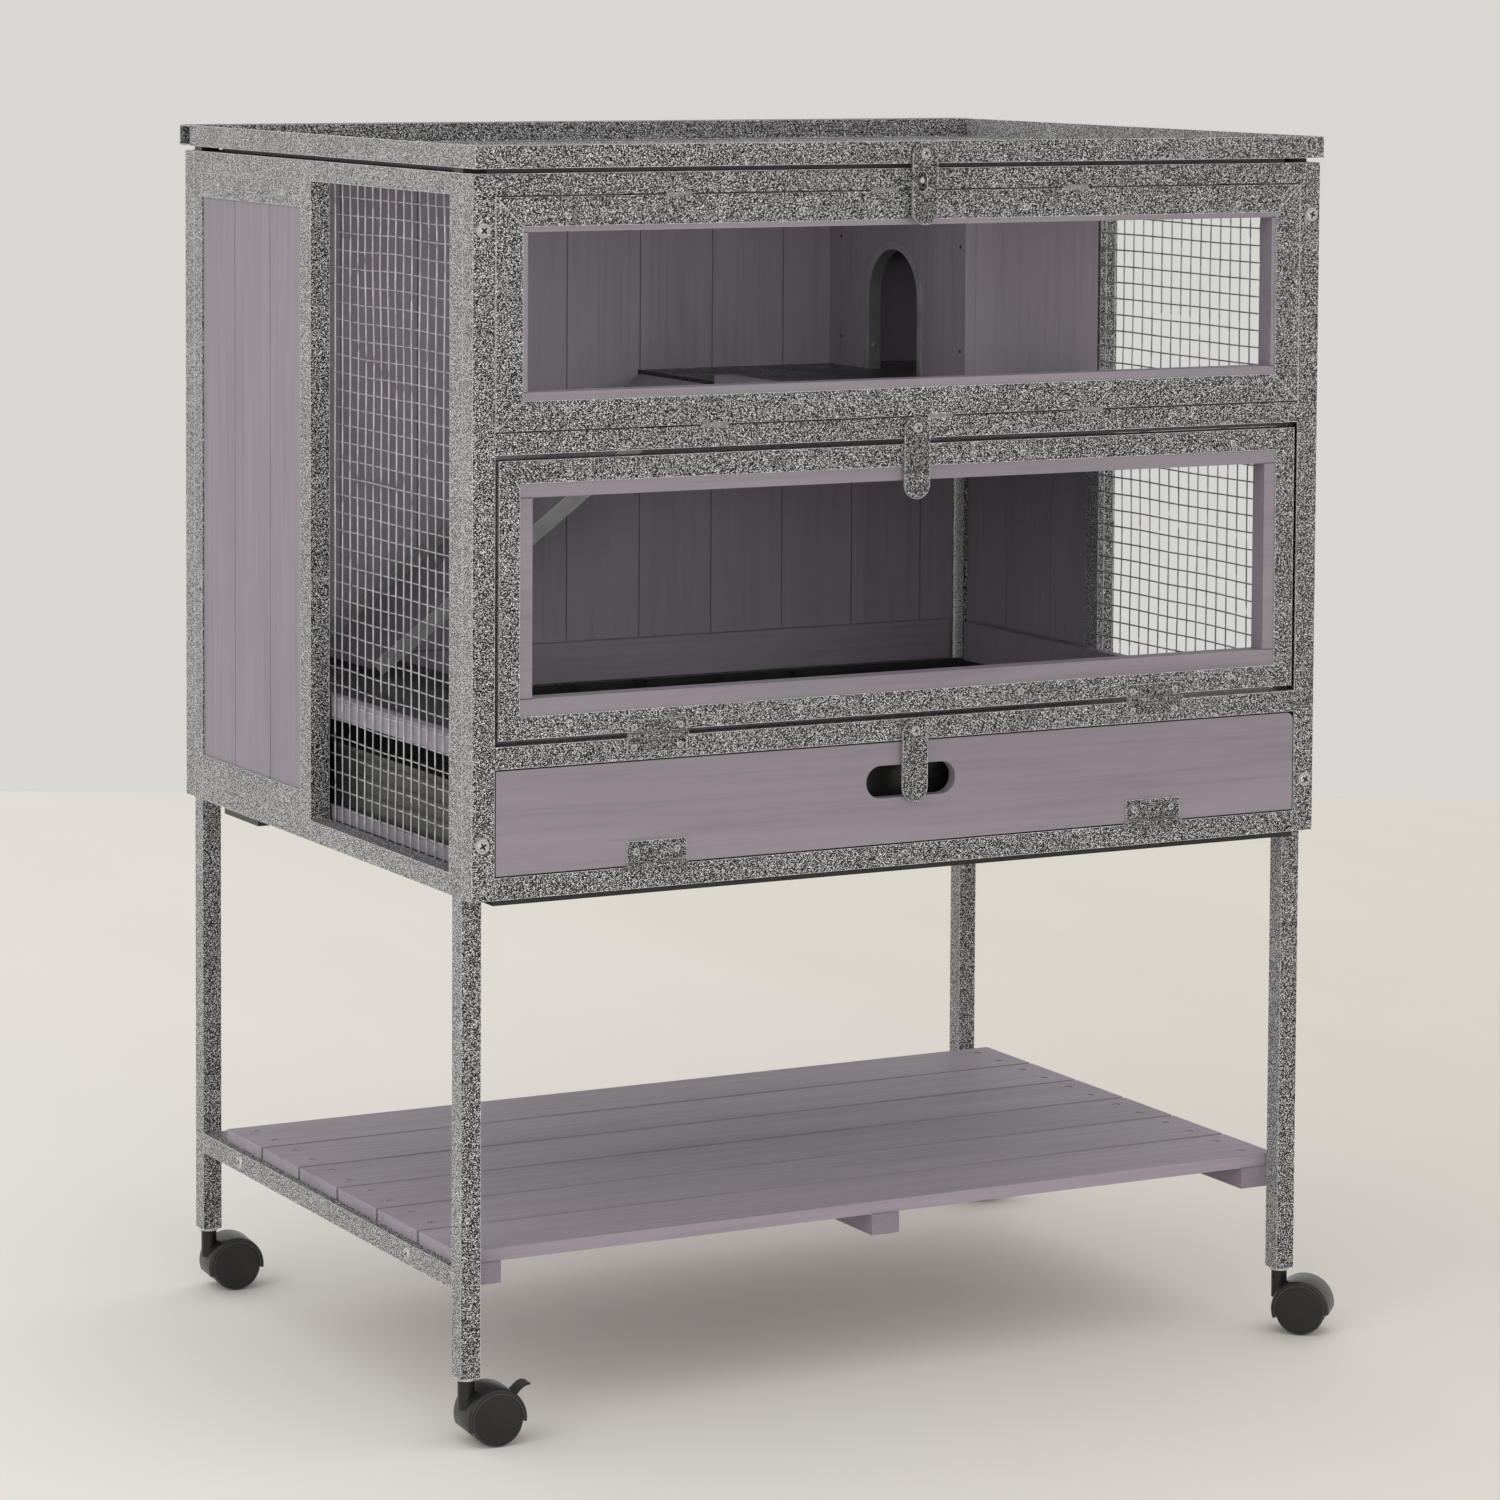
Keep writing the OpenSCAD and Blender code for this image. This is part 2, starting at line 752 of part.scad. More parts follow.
// Folded trim: a flat arch on the wall's outer face and a thin lining through the wall
module arch_trim() {
  inner_w = arch_w - 2 * arch_lining;
  inner_h = arch_h - arch_lining;
  placed() color(zinc) intersection() {
    difference() {
      union() {
        arch(arch_w + 2 * arch_trim_w, arch_h + arch_trim_w, nest_x - sheet, nest_x);
        arch(arch_w, arch_h, nest_x - sheet, nest_x + nest_t);
      }
      arch(inner_w, inner_h, nest_x - sheet - 1, nest_x + nest_t + 1);
    }
    box([nest_x - nest_t, nest_y0, z_floor], [nest_x + 2 * nest_t, y_back_wall, nest_z1]);
  }
}

// ---------------------------------------------------------------- ramp

ramp_play = 0.3;
ramp_run = floor_x - ramp_foot_x;
ramp_rise = z_floor - floor_t - floor_rail_z1;
ramp_slope = atan2(ramp_rise, ramp_run);
ramp_len = norm([ramp_run, ramp_rise]);
ramp_rail_len = ramp_len - ramp_rail_short;
ramp_rail_t = 1.2;
ramp_flange = 14;

// Moves its children to the foot of the ramp, with X up along the slope
module on_ramp() {
  translate([ramp_foot_x, 0, floor_rail_z1])
    rotate([0, -ramp_slope, 0])
      translate([0, 0, ramp_play])
        children();
}

module ramp_board() {
  placed() color(wood) on_ramp()
    box([0, ramp_y0 + ramp_rail_t, ramp_rail_t],
        [ramp_len, ramp_y1 - ramp_rail_t, ramp_rail_t + ramp_board_t]);
}

module ramp_rails() {
  placed() color(smooth_steel) on_ramp() {
    for (y = [ramp_y0, ramp_y1 - ramp_rail_t]) {
      box([0, y, 0], [ramp_rail_len, y + ramp_rail_t, ramp_rail_h]);
    }
    for (y = [ramp_y0, ramp_y1 - ramp_flange]) {
      box([0, y, 0], [ramp_rail_len, y + ramp_flange, ramp_rail_t]);
    }
  }
}

// ---------------------------------------------------------------- shelf

shelf_rail_z1 = shelf_top - plank_t;
plank_y0 = y_side0 + tube + 3;
plank_pitch = plank_w + plank_gap;
plank_screw_x = tube + 14;
plank_screw_d = 8;
plank_screw_sink = 1.5;

module shelf_planks() {
  placed() color(wood)
    for (i = [0 : plank_count - 1]) {
      y0 = plank_y0 + i * plank_pitch;
      difference() {
        box([plank_inset, y0, shelf_rail_z1], [body_w - plank_inset, y0 + plank_w, shelf_top]);
        for (x = [plank_screw_x, body_w - plank_screw_x], share = [0.25, 0.75]) {
          translate([x, y0 + share * plank_w, shelf_top - plank_screw_sink])
            cylinder(h = plank_screw_sink + 1, d = plank_screw_d, $fn = 32);
        }
      }
    }
}

module shelf_battens() {
  placed() color(wood)
    for (x0 = [tube, (body_w - batten_w) / 2, body_w - tube - batten_w]) {
      box([x0, y_side0 + tube, shelf_rail_z1 - tube], [x0 + batten_w, y_back_leg, shelf_rail_z1]);
    }
}

module shelf_rails() {
  z0 = shelf_rail_z1 - tube;
  placed() color(steel)
    for (right = [false, true]) {
      on_side(right) difference() {
        box([0, y_side0 + tube, z0], [tube, y_back_leg, shelf_rail_z1]);
        box([tube_wall, y_side0, z0 + tube_wall],
            [tube - tube_wall, y_side1, shelf_rail_z1 - tube_wall]);
      }
    }
}

// ---------------------------------------------------------------- small fittings

// The four legs as [right, y of the middle]
legs = [for (right = [false, true], y = leg_y) [right, y]];

cap_play = 0.3;
cap_plug = 10;

// Plugs in the tops of the legs; the closed roof rests on their heads
module leg_caps() {
  bore = tube - 2 * tube_wall - 0.2;
  placed() color(black)
    for (leg = legs) {
      on_side(leg[0]) translate([leg_x, leg[1], z_top]) {
        translate([-tube / 2 + 0.5, -tube / 2 + 0.5, 0])
          cube([tube - 1, tube - 1, rim_gap - cap_play]);
        translate([-bore / 2, -bore / 2, -cap_plug])
          cube([bore, bore, cap_plug]);
      }
    }
}

socket_l = 34;

// Plastic sockets in the legs' lower ends that hold the castor stems
module leg_sockets() {
  bore = tube - 2 * tube_wall - 0.2;
  placed() color(black)
    for (leg = legs) {
      on_side(leg[0]) translate([leg_x, leg[1], leg_end]) difference() {
        translate([-bore / 2, -bore / 2, 0]) cube([bore, bore, socket_l]);
        translate([0, 0, -1]) cylinder(h = socket_l + 2, d = stem_d, $fn = 48);
      }
    }
}

corner_bolt_in = 51;
bolt_head_d = 11;
bolt_head_h = 3.2;

// Button-head bolts that join the front and back frames to the legs
module corner_bolts() {
  placed() color(zinc)
    for (right = [false, true], z = [z_bottom + corner_bolt_in, z_top - corner_bolt_in]) {
      on_side(right)
        translate([leg_x, 0, z]) rotate([90, 0, 0]) dome_screw(bolt_head_d, bolt_head_h);
      on_side(right)
        translate([leg_x, body_d, z]) rotate([-90, 0, 0]) dome_screw(bolt_head_d, bolt_head_h);
    }
}

module roof_catch_pin() {
  placed() color(zinc)
    translate([roof_hook_at[0] + catch_pin_dx, 0, roof_latch_z - catch_pin_drop])
      rotate([90, 0, 0])
        cylinder(h = rim_front + latch_stand + latch_t + 2, d = catch_pin_d, $fn = 48);
}

// ---------------------------------------------------------------- hinges

// Length of an outer knuckle and the gap between two knuckles
knuckle_l = 0.3 * hinge_w;
knuckle_gap = 0.3;

// One hinge half around a pin along X at the origin. The leaf runs from the pin towards
// +Z, flat against a mounting face at y = +stand. middle picks the middle knuckle
// instead of the two outer ones, and pin adds the hinge pin.
module hinge_half(leaf_h, middle, pin, stand = knuckle_d / 2) {
  mid_l = hinge_w - 2 * knuckle_l - 2 * knuckle_gap;
  spans = middle ? [[-mid_l / 2, mid_l / 2]]
    : [[-hinge_w / 2, -hinge_w / 2 + knuckle_l], [hinge_w / 2 - knuckle_l, hinge_w / 2]];
  clear_z = knuckle_d / 2 + 0.5;
  bore_d = hinge_pin_d + (pin ? 0 : 2 * run_fit);
  difference() {
    union() {
      box([-hinge_w / 2, stand - leaf_t, clear_z], [hinge_w / 2, stand, leaf_h]);
      for (s = spans) {
        box([s[0], stand - leaf_t, 0], [s[1], stand, clear_z]);
        translate([s[0], 0, 0])
          rotate([0, 90, 0])
            cylinder(h = s[1] - s[0], d = knuckle_d, $fn = 48);
        if (stand > knuckle_d / 2) {
          box([s[0], hinge_pin_d / 2, 0], [s[1], stand, leaf_t]);
        }
      }
    }
    if (!pin) {
      translate([-hinge_w, 0, 0])
        rotate([0, 90, 0])
          cylinder(h = 2 * hinge_w, d = bore_d, $fn = 48);
    }
  }
  if (pin) {
    translate([-hinge_w / 2 + 1, 0, 0])
      rotate([0, 90, 0])
        cylinder(h = hinge_w - 2, d = hinge_pin_d, $fn = 48);
  }
}

// Moves its children to both hinges of a line at y, z
module at_hinges(y, z) {
  for (x = hinge_x) {
    translate([x, y, z]) children();
  }
}

front_hinge_y = -knuckle_d / 2;

// The halves that stay with the cabinet, with the pins: door, flap and roof
module fixed_hinge_leaves() {
  placed() color(steel) {
    at_hinges(front_hinge_y, door_hinge_z) mirror([0, 0, 1]) hinge_half(door_leaf_h, false, true);
    at_hinges(front_hinge_y, flap_hinge_z) flap_fixed_half();
    at_hinges(roof_hinge_y, roof_hinge_z)
      mirror([0, 1, 0]) mirror([0, 0, 1]) hinge_half(flap_leaf_h, false, true);
  }
}

// The flap's fixed half lies flat on the bottom rail, under the flap
module flap_fixed_half() {
  top = flap_gap - 0.3;
  drop = z_flap0 - flap_hinge_z;
  for (x0 = [-hinge_w / 2, hinge_w / 2 - knuckle_l]) {
    translate([x0, 0, 0]) rotate([0, 90, 0]) cylinder(h = knuckle_l, d = knuckle_d, $fn = 48);
    box([x0, 0, drop], [x0 + knuckle_l, knuckle_d / 2 + 0.5, drop + top]);
  }
  box([-hinge_w / 2, knuckle_d / 2 + 0.5, drop], [hinge_w / 2, front_d - 4, drop + top]);
  translate([-hinge_w / 2 + 1, 0, 0])
    rotate([0, 90, 0])
      cylinder(h = hinge_w - 2, d = hinge_pin_d, $fn = 48);
}

module door_hinge_leaves() {
  placed() color(steel) at_hinges(front_hinge_y, door_hinge_z) hinge_half(door_leaf_h, true, false);
}

module flap_hinge_leaves() {
  placed() color(steel) at_hinges(front_hinge_y, flap_hinge_z) hinge_half(flap_leaf_h, true, false);
}

// The roof's halves lie under the rim's back tube, over the cabinet's top edge
module roof_hinge_leaves() {
  placed() color(steel) at_hinges(roof_hinge_y, roof_hinge_z)
    rotate([90, 0, 0])
      hinge_half(flap_leaf_h, true, false, knuckle_d / 2 + roof_leaf_space);
}

// ---------------------------------------------------------------- door and flap

door_low = [stile_w + door_gap_x, z_door0 + door_gap_z];
door_high = [body_w - stile_w - door_gap_x, z_door1 - door_gap_z];
door_in_low = door_low + [door_bar, door_bar];
door_in_high = door_high - [door_bar, door_bar];
door_sill = 3;

module door_frame() {
  placed() color(steel)
    channel_frame(door_low, door_high, [door_bar, door_bar, door_bar, door_bar], sash_d);
}

module door_lip_frame() {
  placed() color(wood) glazing_lip(door_in_low, door_in_high, door_lip, door_sill, lip_y);
}

module door_pane() {
  placed() color(clear, 0.35) glazing_pane(door_in_low, door_in_high, door_lip, door_sill, lip_y);
}

// The flap's upper right corner is rounded, the others are square
flap_round = 7;

module flap_board() {
  r = slot_h / 2;
  x1 = body_w - stile_w - flap_gap;
  z1 = z_flap1 - flap_gap;
  placed() color(wood) difference() {
    box([stile_w + flap_gap, 0, z_flap0 + flap_gap], [x1, flap_t, z1]);
    translate([x1 - flap_round, -1, z1 - flap_round]) difference() {
      cube([flap_round + 1, flap_t + 2, flap_round + 1]);
      translate([0, -1, 0])
        rotate([-90, 0, 0])
          cylinder(h = flap_t + 4, r = flap_round, $fn = 64);
    }
    for (s = [-1, 1]) {
      translate([body_w / 2 + s * (slot_l / 2 - r), -1, z_flap0 + slot_z])
        rotate([-90, 0, 0])
          cylinder(h = flap_t + 2, r = r, $fn = 64);
    }
    box([body_w / 2 - slot_l / 2 + r, -1, z_flap0 + slot_z - r],
        [body_w / 2 + slot_l / 2 - r, flap_t + 1, z_flap0 + slot_z + r]);
  }
}

// ---------------------------------------------------------------- turn latches

// A latch plate in the XZ plane, with its pivot at the origin and its back at y = 0
module latch_plate() {
  r = latch_w / 2;
  difference() {
    union() {
      for (z = [latch_top - r, latch_top - latch_l + r]) {
        translate([0, 0, z]) rotate([90, 0, 0]) cylinder(h = latch_t, r = r, $fn = 64);
      }
      box([-r, -latch_t, latch_top - latch_l + r], [r, 0, latch_top - r]);
    }
    rotate([90, 0, 0])
      translate([0, 0, -1])
        cylinder(h = latch_t + 2, d = latch_pin_d + 2 * run_fit, $fn = 48);
  }
}

// The screw that a latch plate turns on, from the face behind it at y = 0
module latch_screw() {
  play = 0.2;
  rotate([90, 0, 0]) {
    cylinder(h = latch_stand + latch_t + play, d = latch_pin_d, $fn = 48);
    cylinder(h = latch_stand - play, d = latch_pin_d + 5, $fn = 48);
    translate([0, 0, latch_stand + latch_t + play]) dome_screw(latch_pin_d + 5, 2);
  }
}

// The roof hook has a mouth on its left that swings over the catch pin
module roof_hook_plate() {
  reach = norm([catch_pin_dx, catch_pin_drop]);
  mouth = catch_pin_d / 2 + 1;
  difference() {
    latch_plate();
    translate([catch_pin_dx + 1, 0, -catch_pin_drop - 1]) {
      for (z = [-4, 4]) {
        translate([0, 1, z]) rotate([90, 0, 0]) cylinder(h = latch_t + 2, r = 5.5, $fn = 48);
      }
      box([-5.5, -latch_t - 1, -4], [5.5, 1, 4]);
    }
    intersection() {
      rotate([90, 0, 0]) translate([0, 0, -1]) difference() {
        cylinder(h = latch_t + 2, r = reach + mouth, $fn = 96);
        translate([0, 0, -1]) cylinder(h = latch_t + 4, r = reach - mouth, $fn = 96);
      }
      box([-latch_w, -latch_t - 1, -latch_l], [catch_pin_dx, 1, 0]);
    }
  }
}

// Where the three screws enter the faces that they stand on
roof_hook_at = [latch_x + 3, -rim_front, roof_latch_z];
door_latch_at = [latch_x, 0, door_latch_z];
flap_latch_at = [latch_x, 0, flap_latch_z];

module at_latch(place, stand) {
  placed() translate(place - [0, stand, 0]) children();
}

module roof_hook() at_latch(roof_hook_at, latch_stand) color(steel) roof_hook_plate();
module door_latch() at_latch(door_latch_at, latch_stand) color(steel) latch_plate();
module flap_latch() at_latch(flap_latch_at, latch_stand) color(steel) latch_plate();
module roof_hook_screw() at_latch(roof_hook_at, 0) color(zinc) latch_screw();
module door_latch_screw() at_latch(door_latch_at, 0) color(zinc) latch_screw();
module flap_latch_screw() at_latch(flap_latch_at, 0) color(zinc) latch_screw();

// ---------------------------------------------------------------- roof

rim_x0 = -rim_side;
rim_x1 = body_w + rim_side;
rim_y0 = -rim_front;
rim_y1 = body_d + rim_back;
rim_z0 = z_top + rim_gap;
rim_z1 = rim_z0 + rim_h;
rim_tube_y = rim_y1 - rim_tube_d;

// Angle rim along the left, front and right, a flange inside it and an open tube behind
module roof_frame() {
  placed() color(steel) {
    difference() {
      box([rim_x0, rim_y0, rim_z0], [rim_x1, rim_tube_y, rim_z1]);
      box([rim_x0 + sheet, rim_y0 + sheet, rim_z0 + sheet],
          [rim_x1 - sheet, rim_tube_y + 1, rim_z1 + 1]);
      box([rim_x0 + rim_flange, rim_y0 + rim_flange, rim_z0 - 1],
          [rim_x1 - rim_flange, y_back_wall - rim_flange, rim_z1]);
    }
    difference() {
      box([rim_x0, rim_tube_y, rim_z0], [rim_x1, rim_y1, rim_z1]);
      box([rim_x0 - 1, rim_tube_y + sheet, rim_z0 + sheet],
          [rim_x1 + 1, rim_y1 - sheet, rim_z1 - sheet]);
    }
  }
}

// The roof board hangs under the flange, inside the cabinet's top
module roof_board() {
  edge = mesh_x + roof_board_gap;
  placed() color(wood)
    box([edge, y_side0 + roof_board_gap, rim_z0 - roof_board_t],
        [body_w - edge, y_back_wall - roof_board_gap, rim_z0]);
}

// ---------------------------------------------------------------- castors

// Layout of a castor: the stem is along Z through the origin, the axle along Y
// at x = trail, and the wheels stand on z = 0.
axle_z = wheel_d / 2;
neck_top = leg_end - washer_t;
web = 2.2;
hood_round = 5;
tilt = 8;

// Half-section of the hood's outer shape, turned about the axle
module hood_blank(r, w, round) {
  rotate([90, 0, 0]) rotate_extrude($fn = 96) {
    translate([0, -w / 2 + round]) square([r, w - 2 * round]);
    translate([0, -w / 2]) square([r - round, w]);
    for (s = [-1, 1]) {
      translate([r - round, s * (w / 2 - round)]) circle(r = round, $fn = 48);
    }
  }
}

// The half of the space below the hood's lower edge
module below_hood() {
  rotate([0, -tilt, 0]) box([-2 * hood_d, -hood_w, -2 * hood_d], [0.001, hood_w, 0]);
  box([0, -hood_w, -2 * hood_d], [2 * hood_d, hood_w, 0]);
}

// The brake lever turns on a pin above the hood, held by two ears
brake_pin_d = 2.4;
brake_pin_at = 62;
brake_barrel_d = 5;
brake_play = 0.3;
brake_pin_r = hood_d / 2 + brake_play + brake_barrel_d / 2;
brake_w = 20;
ear_w = 2;

module at_brake_pin() {
  translate([trail, 0, axle_z])
    rotate([0, -brake_pin_at, 0])
      translate([brake_pin_r, 0, 0])
        rotate([90, 0, 0])
          children();
}

// Ears on both sides of the brake lever, with the pin across them
module brake_ears() {
  for (s = [-1, 1]) {
    at_brake_pin() translate([0, 0, s * (brake_w / 2 + brake_play + ear_w / 2) - ear_w / 2]) {
      cylinder(h = ear_w, d = brake_barrel_d, $fn = 32);
      translate([-brake_barrel_d, -brake_barrel_d / 2, 0])
        cube([brake_barrel_d, brake_barrel_d, ear_w]);
    }
  }
  at_brake_pin()
    translate([0, 0, -brake_w / 2 - 1])
      cylinder(h = brake_w + 2, d = brake_pin_d, $fn = 32);
}

module castor_hood(brake = false) {
  inner = wheel_d / 2 + 1;
  well_w = hood_w / 2 - hood_wall - web;
  difference() {
    union() {
      translate([trail, 0, axle_z]) difference() {
        hood_blank(hood_d / 2, hood_w, hood_round);
        below_hood();
      }
      translate([0, 0, axle_z + 8]) cylinder(h = neck_top - axle_z - 8, d = neck_d, $fn = 64);
      translate([trail, web, axle_z])
        rotate([90, 0, 0])
          cylinder(h = 2 * web, d = axle_d + 9, $fn = 64);
    }
    for (s = [-1, 1]) {
      translate([trail, s * (web + well_w / 2), axle_z])
        rotate([90, 0, 0])
          translate([0, 0, -well_w / 2])
            cylinder(h = well_w, r = inner, $fn = 96);
    }
    translate([trail, hood_w, axle_z])
      rotate([90, 0, 0])
        cylinder(h = 2 * hood_w, d = axle_d + 2 * run_fit, $fn = 48);
    translate([0, 0, axle_z + 4]) cylinder(h = leg_end, d = stem_d + 2 * run_fit, $fn = 48);
  }
  if (brake) {
    brake_ears();
  }
}

// Both wheels and the axle that they turn on
module castor_wheels() {
  side_gap = (hood_w / 2 - hood_wall - web - wheel_w) / 2;
  translate([trail, 0, axle_z]) rotate([90, 0, 0]) {
    for (s = [0, 1]) {
      mirror([0, 0, s]) translate([0, 0, web + side_gap]) wheel();
    }
    translate([0, 0, -hood_w / 2 + 0.2]) cylinder(h = hood_w - 0.4, d = axle_d, $fn = 48);
  }
}

// A wheel along +Z with a rounded tread, a dished outer face and a ring lip
module wheel() {
  r = wheel_d / 2;
  tread = 3;
  rotate_extrude($fn = 96) difference() {
    union() {
      square([r - tread, wheel_w]);
      translate([0, tread]) square([r, wheel_w - 2 * tread]);
      for (z = [tread, wheel_w - tread]) {
        translate([r - tread, z]) circle(r = tread, $fn = 48);
      }
    }
    translate([7, wheel_w - 2]) square([r - 7 - 5, 3]);
    square([axle_d / 2, wheel_w]);
  }
}

brake_end = 8;
brake_t = 2.4;
brake_ribs = 5;
brake_rib_step = 7;
brake_rib_d = 1.6;

// Brake lever: a ribbed tab that follows the hood down from its barrel
module brake_lever() {
  r0 = hood_d / 2 + 2 * brake_play;
  difference() {
    union() {
      at_brake_pin()
        translate([0, 0, -brake_w / 2])
          cylinder(h = brake_w, d = brake_barrel_d, $fn = 32);
      translate([trail, brake_w / 2, axle_z]) rotate([90, 0, 0]) {
        rotate([0, 0, brake_end])
          rotate_extrude(angle = brake_pin_at - brake_end, $fn = 96)
            translate([r0, 0])
              square([brake_t, brake_w]);
        for (i = [1 : brake_ribs]) {
          rotate([0, 0, brake_end + i * brake_rib_step])
            translate([r0 + brake_t, 0, 0])
              cylinder(h = brake_w, d = brake_rib_d, $fn = 24);
        }
      }
    }
    at_brake_pin()
      translate([0, 0, -brake_w])
        cylinder(h = 2 * brake_w, d = brake_pin_d + 2 * run_fit, $fn = 32);
  }
}

module at_castor(which) {
  translate([which[0] ? body_w - leg_x : leg_x, leg_y[which[1] ? 1 : 0], 0])
    rotate([0, 0, which[2]])
      children();
}

stem_z0 = axle_z + 19;

// Steel stems pressed into the sockets, with a washer under each leg
module castor_stems() {
  placed() color(zinc)
    for (leg = legs) {
      on_side(leg[0]) translate([leg_x, leg[1], 0]) {
        translate([0, 0, stem_z0])
          cylinder(h = leg_end + socket_l - stem_z0, d = stem_d, $fn = 48);
        translate([0, 0, neck_top + 0.3]) cylinder(h = washer_t - 0.3, d = tube - 1, $fn = 64);
      }
    }
}

// Each castor as [right, back, way it trails]
front_left = [false, false, trail_front_left];
back_left = [false, true, trail_back_left];
front_right = [true, false, trail_front_right];
back_right = [true, true, trail_back_right];

module hood_of(which, brake) {
  placed() color(black) at_castor(which) castor_hood(brake);
}

module wheels_of(which) {
  placed() color(black) at_castor(which) castor_wheels();
}

module brake_of(which) {
  placed() color(black) at_castor(which) brake_lever();
}

module front_left_castor_hood() hood_of(front_left, true);
module front_left_castor_wheels() wheels_of(front_left);
module front_left_brake() brake_of(front_left);
module back_left_castor_hood() hood_of(back_left, false);
module back_left_castor_wheels() wheels_of(back_left);
module front_right_castor_hood() hood_of(front_right, false);
module front_right_castor_wheels() wheels_of(front_right);
module back_right_castor_hood() hood_of(back_right, true);
module back_right_castor_wheels() wheels_of(back_right);
module back_right_brake() brake_of(back_right);

// ---------------------------------------------------------------- drawing

left_side_frame();
right_side_frame();
left_mesh();
right_mesh();
side_boards();
board_strips();
front_frame();
window_frame();
window_lip_frame();  // window_lip
window_pane();
back_frame();
back_boards();
skirting_boards();
floor_rails();
landing_plate();
upper_floor();
floor_ledges();
guard_beam();
nest_side_wall();
nest_front_wall();
arch_trim();
ramp_board();
ramp_rails();
waste_tray();
tray_runners();
bottom_board();
shelf_planks();
shelf_battens();
shelf_rails();
leg_caps();
leg_sockets();
corner_bolts();
roof_catch_pin();
fixed_hinge_leaves();
roof_frame();
roof_board();
roof_hinge_leaves();
roof_hook();
roof_hook_screw();
door_frame();
door_lip_frame();  // door_lip
door_pane();
door_hinge_leaves();
door_latch();
door_latch_screw();
flap_board();
flap_hinge_leaves();
flap_latch();
flap_latch_screw();
castor_stems();
front_left_castor_hood();
front_left_castor_wheels();
front_left_brake();
back_left_castor_hood();
back_left_castor_wheels();
front_right_castor_hood();
front_right_castor_wheels();
back_right_castor_hood();
back_right_castor_wheels();
back_right_brake();
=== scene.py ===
"""The rabbit hutch's finishes, small fittings, floor, light and camera."""

import json
import math
import random

import bmesh
import bpy
from mathutils import Matrix, Vector, noise as noise_of


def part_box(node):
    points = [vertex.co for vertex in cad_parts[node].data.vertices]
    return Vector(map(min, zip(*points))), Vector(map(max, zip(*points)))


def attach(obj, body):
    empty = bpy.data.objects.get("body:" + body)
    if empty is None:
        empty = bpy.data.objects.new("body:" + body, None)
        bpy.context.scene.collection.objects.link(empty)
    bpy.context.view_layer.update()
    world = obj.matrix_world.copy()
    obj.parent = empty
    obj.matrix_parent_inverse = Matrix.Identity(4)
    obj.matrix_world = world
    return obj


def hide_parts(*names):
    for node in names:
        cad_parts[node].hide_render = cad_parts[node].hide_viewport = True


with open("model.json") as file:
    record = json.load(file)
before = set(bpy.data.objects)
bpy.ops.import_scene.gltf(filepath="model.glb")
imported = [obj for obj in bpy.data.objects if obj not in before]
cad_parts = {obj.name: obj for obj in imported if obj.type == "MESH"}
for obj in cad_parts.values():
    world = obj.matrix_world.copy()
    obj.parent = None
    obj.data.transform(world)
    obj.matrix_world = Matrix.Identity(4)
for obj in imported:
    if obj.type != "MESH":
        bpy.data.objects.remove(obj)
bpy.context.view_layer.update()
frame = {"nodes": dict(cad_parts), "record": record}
nodes = frame["nodes"]
slot_of = {s["node"]: s["material_slot"] for s in frame["record"]["subparts"]}
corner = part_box("front_frame")[0]  # the front frame's lower left front corner


# ---------------------------------------------------------------- node helpers

def new_material(name):
    """A new material, its node tree and its Principled shader."""
    made = bpy.data.materials.new(name)
    made.use_nodes = True
    return made, made.node_tree, made.node_tree.nodes["Principled BSDF"]


def feed(tree, target, values):
    """Sets a node's inputs: a socket is linked, any other value is stored."""
    for name, value in values.items():
        if isinstance(value, bpy.types.NodeSocket):
            tree.links.new(value, target.inputs[name])
        else:
            target.inputs[name].default_value = value


def add(tree, kind, values, **settings):
    """A new node with its settings and inputs."""
    made = tree.nodes.new(kind)
    for name, value in settings.items():
        setattr(made, name, value)
    feed(tree, made, values)
    return made


def place(tree):
    """Where a point of the surface lies, in the object's own metres."""
    return tree.nodes.new("ShaderNodeTexCoord").outputs["Object"]


def scaled(tree, at, scale):
    """A place stretched by its own scale along each axis."""
    return add(tree, "ShaderNodeMapping", {"Vector": at, "Scale": scale}).outputs["Vector"]


def noise(tree, at, scale, detail=3.0, rough=0.5, distortion=0.0):
    """Noise of mostly 0.3 to 0.7; scale is about the number of waves to a metre."""
    made = add(tree, "ShaderNodeTexNoise", {"Vector": at, "Scale": scale, "Detail": detail,
                                            "Roughness": rough, "Distortion": distortion})
    return made.outputs["Fac"]


def ramp(tree, fac, stops):
    """A colour ramp through (place, colour) stops; a lone number is a grey."""
    made = add(tree, "ShaderNodeValToRGB", {"Fac": fac})
    bar = made.color_ramp
    for i, (at, colour) in enumerate(stops):
        if i == 0:
            stop = bar.elements[0]
            stop.position = at
        elif i == len(stops) - 1:
            stop = bar.elements[-1]
            stop.position = at
        else:
            stop = bar.elements.new(at)
        grey = (colour, colour, colour) if isinstance(colour, (int, float)) else colour
        stop.color = (*grey, 1.0)
    return made.outputs["Color"]


def blend(tree, fac, a, b, kind="MIX"):
    """Mixes two colours; the numbers are the Mix node's colour sockets."""
    made = add(tree, "ShaderNodeMix", {}, data_type="RGBA", blend_type=kind)
    for socket, value in ((0, fac), (6, a), (7, b)):
        if isinstance(value, bpy.types.NodeSocket):
            tree.links.new(value, made.inputs[socket])
        elif socket == 0:
            made.inputs[0].default_value = value
        else:
            made.inputs[socket].default_value = (*value, 1.0)
    return made.outputs[2]


